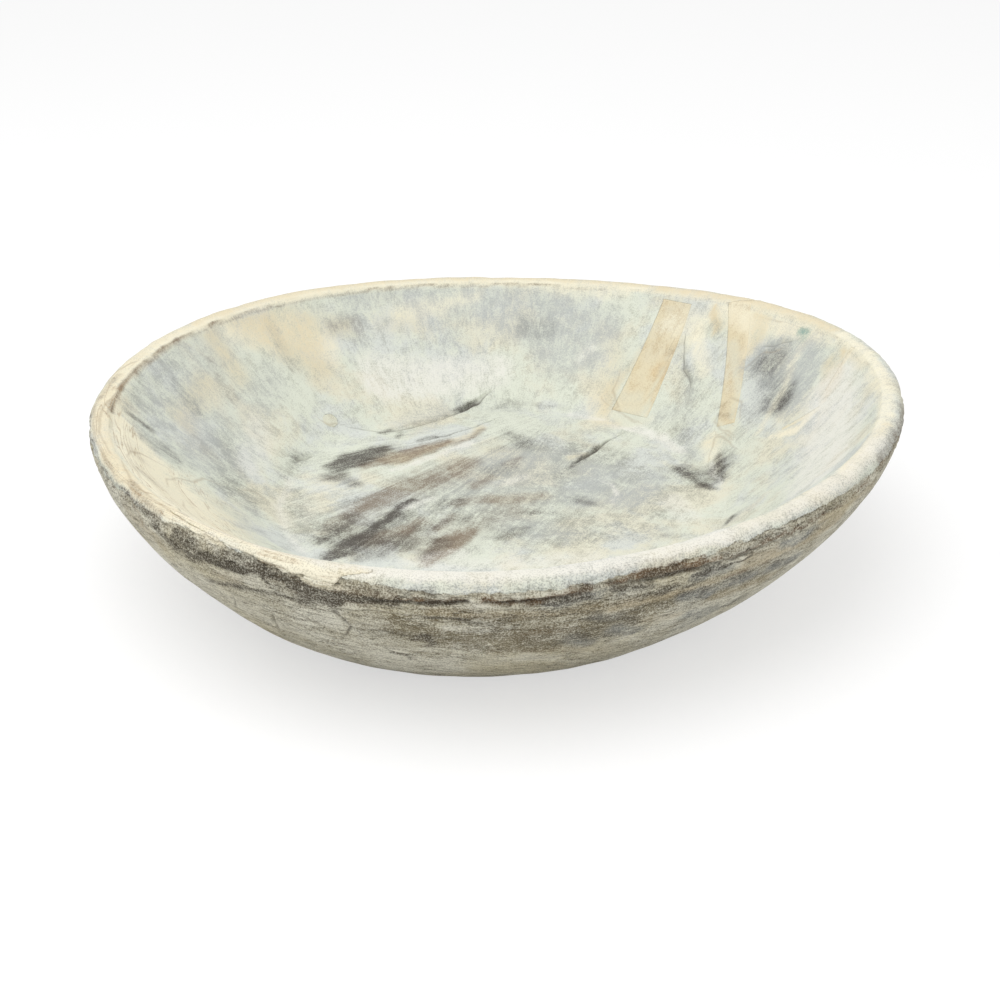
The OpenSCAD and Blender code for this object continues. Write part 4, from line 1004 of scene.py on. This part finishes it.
# Limewashed soft wood (paulownia): a chalky coat, rubbed thin on the floor and at every knock, so that the
# eye sees a matt, blotchy paleness with the grey, weathered grain and its dark streaks coming through
limewash = {
    # the coat itself, where it has yellowed and where it is bluish; the wood under it, how much of that
    # shows where it is rubbed, and in what grain; then the same for the bare outside
    "washes": ("#dbdfd1", "#e1ddc9", "#d5d9d5"),
    "under": "#8f9084", "rubbed": 0.46, "rubbedFrom": (0.35, 0.95),
    "outside": ("#dcd9c8", "#cbc3a6", "#c3bea9"),
    "outsideUnder": "#736a58", "outsideRubbed": 0.56, "outsideRubbedFrom": (0.42, 0.8),
    "contour": "#a58a68", "fissure": "#4a4438", "fleck": "#d8d4c2", "speck": "#6a6252",
    "noises": {
        # the space it is measured in, its stretch along each axis, size in mm, detail, roughness, warp
        "cloud": ("object", (1, 1, 1), 46, 5, 0.55, 0.3), "drift": ("turned", (1, 1, 1), 38, 5, 0.6, 0.3),
        "mottle": ("object", (1, 1, 1), 10, 9, 0.7, 0.4), "grit": ("object", (1, 1, 1), 0.75, 2, 0.65, 0),
        "wallFibre": ("wall", (1, 1, 0.2), 2.6, 6, 0.7, 0.9),
        "floorFibre": ("fan", (1, 0.08, 1), 4.0, 7, 0.7, 0.5),
        "woodFibre": ("log", (0.06, 1, 1), 2.2, 6, 0.68, 0.3),
        "contour": ("wall", (0.12, 0.12, 1), 14, 3, 0.45, 0.25),
        "fissure": ("wall", (0.14, 0.14, 1), 6, 6, 0.68, 0.4),
        "flake": ("wall", (0.4, 0.4, 1), 2.0, 5, 0.7, 0.5),
    },
    "noiseSpan": (0.38, 0.62),  # what of each noise is spread over 0 to 1
    "grains": {
        "wall": (("wallFibre", 0.32), ("mottle", 0.38), ("grit", 0.3)),
        "fan": (("floorFibre", 0.34), ("mottle", 0.3), ("grit", 0.36)),
        "floor": (("woodFibre", 0.2), ("mottle", 0.42), ("grit", 0.38)),
        "outside": (("flake", 0.32), ("mottle", 0.3), ("grit", 0.38)),
    },
    "coatEnd": (0.4, 0.62, 0.78),  # how far the grain breaks the coat's end up, and the end's softness
    "clouds": (0.6, 1.4),  # where in the noise the coat starts to turn and has turned
    "brokenBy": {"clouds": 0.5, "levels": (1.1, 0.3), "lines": 1.2},  # how far the grain breaks each up
    "layers": (
        # attribute, colour inside, colour outside, density, how far the grain breaks it up
        ("worn", "#8f9087", "#665b3f", 0.8, 2.1),
        ("coolGrey", "#b5b9b8", "#868a89", 0.8, 1.4),
        ("creamWash", "#f2ebd3", "#f4ecd3", 0.88, -0.8),
        ("tanWood", "#dac9a4", "#ae9a74", 0.7, -1.1),
        # brown stains, with the painted shade along the hollow's edge
        ("brownStainAndShade", "#7b6855", "#6a4c2d", 0.85, 1.0),
        # dark stains, with the painted shade in the crease between floor and wall
        ("darkStainAndShade", "#4b4642", "#3a3329", 0.92, 1.1),
        ("limeOver", "#dcddcb", "#dcddcb", 0.9, 0.9),
        # chalky patches, with the painted highlight along the floor's edge
        ("chalkAndHighlight", "#eae8e1", "#dcd9ca", 0.75, -1.4),
        ("paintTrace", "#5d9490", "#5d9490", 0.7, 0.9),
    ),
    "fullCover": 1.1,  # a layer reaches its whole density here
    # level lines in a noise, for growth rings and fissures: how close they lie, half width, strength
    "levels": {"contour": (1 / 10, 0.03, 0.65), "fissure": (1 / 3, 0.055, 0.8)},
    "lines": {"ring": ("#947c5c", 0.36, 0.7), "crack": ("#4d473f", 0.8, 0.8)},  # colour, strength, softness
    "lineSpan": (-0.5, 0.4),  # millimetres outside and inside a line's edge over which it darkens
    "dots": {"speck": (0.5, 0.95), "fleck": (0.5, 0.1)},  # where in the grit they lie
    "turnedBy": {"Location": (0.31, 0.17, 0.23), "Rotation": (0.5, 0.3, 0.9)},
    # the log's pith and its turn, its rings' width and waver, and where in a ring latewood starts, how dark
    "pith": (0.0, 0.0, -0.07), "logTurn": 62, "ringWidth": 4.6, "latewood": (0.7, 0.35),
    "ringWave": {"Distortion": 9, "Detail": 4, "Detail Scale": 0.25, "Detail Roughness": 0.62},
    # how high each stands, as a share of the bump's depth
    "relief": {"grain": -0.4, "grit": -0.12, "bare": -0.3, "crack": -0.8, "fissure": -0.5, "contour": -0.15},
    "bump": 0.7, "roughness": 0.88, "specular": 0.25,
}


def woodMaterial(name, finish):
    material = bpy.data.materials.new(name)
    material.use_nodes = True
    tree = material.node_tree
    tree.nodes.clear()
    eased = {"interpolation_type": "SMOOTHSTEP"}
    inColour = {"data_type": "RGBA"}
    painted = [layer[0] for layer in finish["layers"]]
    read = {key: addNode(tree, "Attribute", attribute_name=key).node.outputs["Fac"]
            for key in ("floorShare", "fanShare", "bareSide", "specks", "ringShare", "ringSide", "ringWidth",
                        "crackSide", "crackWidth", *painted)}
    spaces = {key: addNode(tree, "Attribute", attribute_name=key).node.outputs["Vector"]
              for key in ("wall", "fan")}
    spaces["object"] = addNode(tree, "TexCoord").node.outputs["Object"]
    spaces["turned"] = addNode(tree, "Mapping", {"Vector": spaces["object"], **finish["turnedBy"]})
    alongLog = {"Vector": spaces["object"], "Location": finish["pith"],
                "Rotation": (0, 0, math.radians(finish["logTurn"]))}
    spaces["log"] = addNode(tree, "Mapping", alongLog, vector_type="TEXTURE")
    noises = {}
    spanStart, spanEnd = finish["noiseSpan"]
    for key, (space, stretch, size, detail, rough, warp) in finish["noises"].items():
        scale = [s / (size * mm) for s in stretch]
        scaled = addNode(tree, "Mapping", {"Vector": spaces[space], "Scale": scale})
        raw = addNode(tree, "TexNoise", {"Vector": scaled, "Scale": 1, "Detail": detail, "Roughness": rough,
                                         "Distortion": warp})
        noises[key] = addNode(tree, "MapRange", {"Value": raw, "From Min": spanStart, "From Max": spanEnd})
    grains = {}
    for place, parts in finish["grains"].items():
        grains[place] = 0.0
        for key, weight in parts:
            grains[place] = addNode(tree, "Math", {0: noises[key], 1: weight, 2: grains[place]},
                                    operation="MULTIPLY_ADD")

    # the lime coat's ragged edge under the rim
    broken, edgeStart, edgeEnd = finish["coatEnd"]
    ragged = addNode(tree, "Math", {0: grains["wall"], 1: broken, 2: read["bareSide"]},
                     operation="MULTIPLY_ADD")
    bare = addNode(tree, "MapRange", {"Value": ragged, "From Min": edgeStart, "From Max": edgeEnd}, **eased)
    inside = addNode(tree, "Mix", {0: read["fanShare"], 2: grains["floor"], 3: grains["fan"]})
    inside = addNode(tree, "Mix", {0: read["floorShare"], 2: grains["wall"], 3: inside})
    grain = addNode(tree, "Mix", {0: bare, 2: inside, 3: grains["outside"]})

    # the coat, yellowed and bluish in clouds, and thin where the grain stands up
    coats = []
    for names in (("washes", "under", "rubbed", "rubbedFrom"),
                  ("outside", "outsideUnder", "outsideRubbed", "outsideRubbedFrom")):
        colours, under, rubbed, (low, high) = (finish[key] for key in names)
        coat = linearColour(colours[0])
        for key, code in zip(("cloud", "drift"), colours[1:]):
            share = addNode(tree, "Math", {0: grain, 1: finish["brokenBy"]["clouds"], 2: noises[key]},
                            operation="MULTIPLY_ADD")
            share = addNode(tree, "MapRange", {"Value": share, "From Min": finish["clouds"][0],
                                               "From Max": finish["clouds"][1]}, **eased)
            coat = addNode(tree, "Mix", {0: share, 6: coat, 7: linearColour(code)}, **inColour)
        thin = addNode(tree, "MapRange", {"Value": grain, "From Min": low, "From Max": high,
                                          "To Max": rubbed}, **eased)
        coats.append(addNode(tree, "Mix", {0: thin, 6: coat, 7: linearColour(under)}, **inColour))
    colour = addNode(tree, "Mix", {0: bare, 6: coats[0], 7: coats[1]}, **inColour)

    # growth rings where the wood is bare
    waveRepeat = 0.314  # Blender's wave repeats at this length when its scale is 1
    saw = addNode(tree, "TexWave", {"Vector": spaces["log"], **finish["ringWave"],
                                    "Scale": waveRepeat / (finish["ringWidth"] * mm)},
                  wave_type="RINGS", rings_direction="X", wave_profile="SAW").node.outputs["Fac"]
    starts, most = finish["latewood"]
    late = addNode(tree, "MapRange", {"Value": saw, "From Min": starts, "To Max": most}, **eased)
    late = addNode(tree, "Math", {0: late, 1: bare}, operation="MULTIPLY")
    colour = addNode(tree, "Mix", {0: late, 6: colour, 7: linearColour(finish["outsideUnder"])}, **inColour)

    # stains and worn places, and the painted shade and highlights along creases, broken up by the grain
    for key, within, without, density, broken in finish["layers"]:
        factor = addNode(tree, "Math", {0: grain, 1: broken, 2: 1 - broken / 2}, operation="MULTIPLY_ADD")
        amount = addNode(tree, "Math", {0: read[key], 1: factor}, operation="MULTIPLY")
        amount = addNode(tree, "MapRange", {"Value": amount, "From Max": finish["fullCover"],
                                            "To Max": density}, **eased)
        tone = addNode(tree, "Mix", {0: bare, 6: linearColour(within), 7: linearColour(without)}, **inColour)
        colour = addNode(tree, "Mix", {0: amount, 6: colour, 7: tone}, **inColour)

    # growth rings showing in the cream wood, and fine fissures in the bare outside, both ragged level lines
    lines = {}
    much, atLeast = finish["brokenBy"]["levels"]
    for key, place in (("contour", read["ringShare"]), ("fissure", bare)):
        apart, half, strength = finish["levels"][key]
        level = addNode(tree, "Math", {0: noises[key], 1: apart / 2}, operation="ADD")
        level = addNode(tree, "Math", {0: level, 1: apart}, operation="PINGPONG")
        level = addNode(tree, "MapRange", {"Value": level, "From Min": half, "From Max": 0.0,
                                           "To Max": strength}, **eased)
        level = addNode(tree, "Math", {0: level, 1: place}, operation="MULTIPLY")
        broken = addNode(tree, "Math", {0: grain, 1: much, 2: atLeast}, operation="MULTIPLY_ADD")
        lines[key] = addNode(tree, "Math", {0: level, 1: broken}, operation="MULTIPLY", use_clamp=True)
        colour = addNode(tree, "Mix", {0: lines[key], 6: colour, 7: linearColour(finish[key])}, **inColour)

    # brown rings and open cracks: a soft line of its own width, darker in its middle
    lineStart, lineEnd = finish["lineSpan"]
    for key, (code, strength, soft) in finish["lines"].items():
        apart = addNode(tree, "Math", {0: read[key + "Side"]}, operation="ABSOLUTE")
        apart = addNode(tree, "Math", {0: grain, 1: finish["brokenBy"]["lines"], 2: apart},
                        operation="MULTIPLY_ADD")
        depth = addNode(tree, "Math", {0: read[key + "Width"], 1: apart}, operation="SUBTRACT")
        lines[key] = addNode(tree, "MapRange", {"Value": depth, "From Min": lineStart - soft,
                                                "From Max": lineEnd, "To Max": strength}, **eased)
        colour = addNode(tree, "Mix", {0: lines[key], 6: colour, 7: linearColour(code)}, **inColour)

    # dark specks and pale flecks, thickest on the rim and outside
    for key, (low, high) in finish["dots"].items():
        dot = addNode(tree, "MapRange", {"Value": noises["grit"], "From Min": low, "From Max": high})
        dot = addNode(tree, "Math", {0: dot, 1: read["specks"]}, operation="MULTIPLY")
        colour = addNode(tree, "Mix", {0: dot, 6: colour, 7: linearColour(finish[key])}, **inColour)

    height, raised = 0.0, {"grain": grain, "grit": noises["grit"], "bare": bare, **lines}
    for key, share in finish["relief"].items():
        height = addNode(tree, "Math", {0: raised[key], 1: share, 2: height}, operation="MULTIPLY_ADD")
    normal = addNode(tree, "Bump", {"Height": height, "Distance": mm, "Strength": finish["bump"]})
    shader = addNode(tree, "BsdfPrincipled", {"Base Color": colour, "Roughness": finish["roughness"],
                                              "Specular IOR Level": finish["specular"], "Normal": normal})
    addNode(tree, "OutputMaterial", {"Surface": shader})
    return material


limewashedWood = woodMaterial("limewashed paulownia", limewash)
# Newer wood, planed flat and washed only thinly, so that the mends look warmer and cleaner than the wall
tanWood = woodMaterial("bare tan wood", {
    **limewash, "washes": ("#ded3b5", "#d8c39c", "#dcd6c0"), "under": "#c4ae88", "rubbed": 0.65})
# Lime bound with glue and struck off with a knife, which dries cream and chalky
limeFiller = woodMaterial("lime and glue filler", {
    **limewash, "washes": ("#e6dfc8", "#e8ddbd", "#e4e2d2"), "under": "#c4b899"})
# A knot's closer wood takes the lime less well, and yellows a little through it
knotWood = woodMaterial("limewashed knot wood", {
    **limewash, "washes": ("#dbdac6", "#d6cca9", "#d9dbcd"), "under": "#aa9f80"})
finishes = {
    "repairStripLeft": (tanWood, "tan_wood"), "repairStripRight": (tanWood, "tan_wood"),
    "knotPlug": (knotWood, "plug_wood"), "crackFillerUpper": (limeFiller, "lime_filler"),
    "crackFillerLower": (limeFiller, "lime_filler"), "rimFiller": (limeFiller, "lime_filler"),
}
bowlObject.data.materials.clear()
bowlObject.data.materials.append(limewashedWood)
for name, (finish, slotName) in finishes.items():
    pieceObjects[name].data.materials.clear()
    pieceObjects[name].data.materials.append(finish)

for obj in [bowlObject, *pieceObjects.values()]:
    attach(obj, "root")
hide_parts("bowl_body")
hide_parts("repair_strip_left")
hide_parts("repair_strip_right")
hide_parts("knot_plug")
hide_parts("crack_filler")
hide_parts("crack_filler")
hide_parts("rim_filler")
print("pieces finished")

# The camera of the photograph
view = {"target": (-0.13, 0.67, 40), "distance": 900, "elevation": 25.55, "roll": -0.3, "lens": 61.96,
        "sensor": 36, "shift": (0.0025, -0.022), "nearest": 10}
camera = bpy.data.objects.new("camera", bpy.data.cameras.new("camera"))
scene.collection.objects.link(camera)
scene.camera = camera
camera.data.lens = view["lens"]
camera.data.sensor_width = view["sensor"]
camera.data.shift_x, camera.data.shift_y = view["shift"]
camera.data.clip_start = view["nearest"] * mm
tilt = math.radians(view["elevation"])
away = Vector((0, -math.cos(tilt), math.sin(tilt))) * view["distance"]
camera.location = (Vector(view["target"]) + away) * mm
facing = Matrix.Rotation(math.radians(90) - tilt, 4, "X")
rolled = Matrix.Rotation(math.radians(view["roll"]), 4, "Z")
camera.rotation_euler = (facing @ rolled).to_euler()

# A white sweep under a soft white sky and one broad lamp, in metres and watts
studio = {"floorSize": 6, "paper": "#e8e8e8", "shadowLift": 0.6, "sky": 0.77,
          "lampPower": 14.5, "lampSize": 1.4, "lampAt": (-0.25, -0.45, 1.5)}
white = (1, 1, 1, 1)


def whereSeen(tree):
    # 1 for the rays that see a thing, straight or mirrored, and 0 for those that gather its light
    rays = addNode(tree, "LightPath").node
    seen = rays.outputs["Is Camera Ray"]
    for kind in ("Is Glossy Ray", "Is Transmission Ray"):
        seen = addNode(tree, "Math", {0: seen, 1: rays.outputs[kind]}, operation="MAXIMUM")
    return seen


floorShape = bmesh.new()
bmesh.ops.create_grid(floorShape, x_segments=1, y_segments=1, size=studio["floorSize"] / 2)
floorMesh = bpy.data.meshes.new("floor")
floorShape.to_mesh(floorMesh)
floorShape.free()
floor = placeInScene(floorMesh, "floor")
# matt white paper: the eye sees it evenly white, with less than half the depth of the bowl's soft shadow
floorMaterial = bpy.data.materials.new("matt white paper")
floorMaterial.use_nodes = True
paper = floorMaterial.node_tree
paper.nodes.clear()
seen = whereSeen(paper)
tone = addNode(paper, "Mix", {0: seen, 6: linearColour(studio["paper"]), 7: white}, data_type="RGBA")
lit = addNode(paper, "BsdfDiffuse", {"Color": tone})
glow = addNode(paper, "Emission", {"Color": white, "Strength": 1.0})
lifted = addNode(paper, "Math", {0: seen, 1: studio["shadowLift"]}, operation="MULTIPLY")
addNode(paper, "OutputMaterial", {"Surface": addNode(paper, "MixShader", {0: lifted, 1: lit, 2: glow})})
floorMesh.materials.append(floorMaterial)
world = bpy.data.worlds.new("studio")
scene.world = world
world.use_nodes = True
sky = world.node_tree
sky.nodes.clear()
strength = addNode(sky, "Mix", {0: whereSeen(sky), 2: studio["sky"], 3: 1.0})
addNode(sky, "OutputWorld", {"Surface": addNode(sky, "Background", {"Color": white, "Strength": strength})})
lamp = bpy.data.objects.new("lamp", bpy.data.lights.new("lamp", "AREA"))
scene.collection.objects.link(lamp)
lamp.data.shape = "DISK"
lamp.data.size = studio["lampSize"]
lamp.data.energy = studio["lampPower"]
lamp.location = studio["lampAt"]
lamp.rotation_euler = (-Vector(studio["lampAt"])).to_track_quat("-Z", "Y").to_euler()
scene.view_settings.view_transform = "Standard"
print("studio lit")
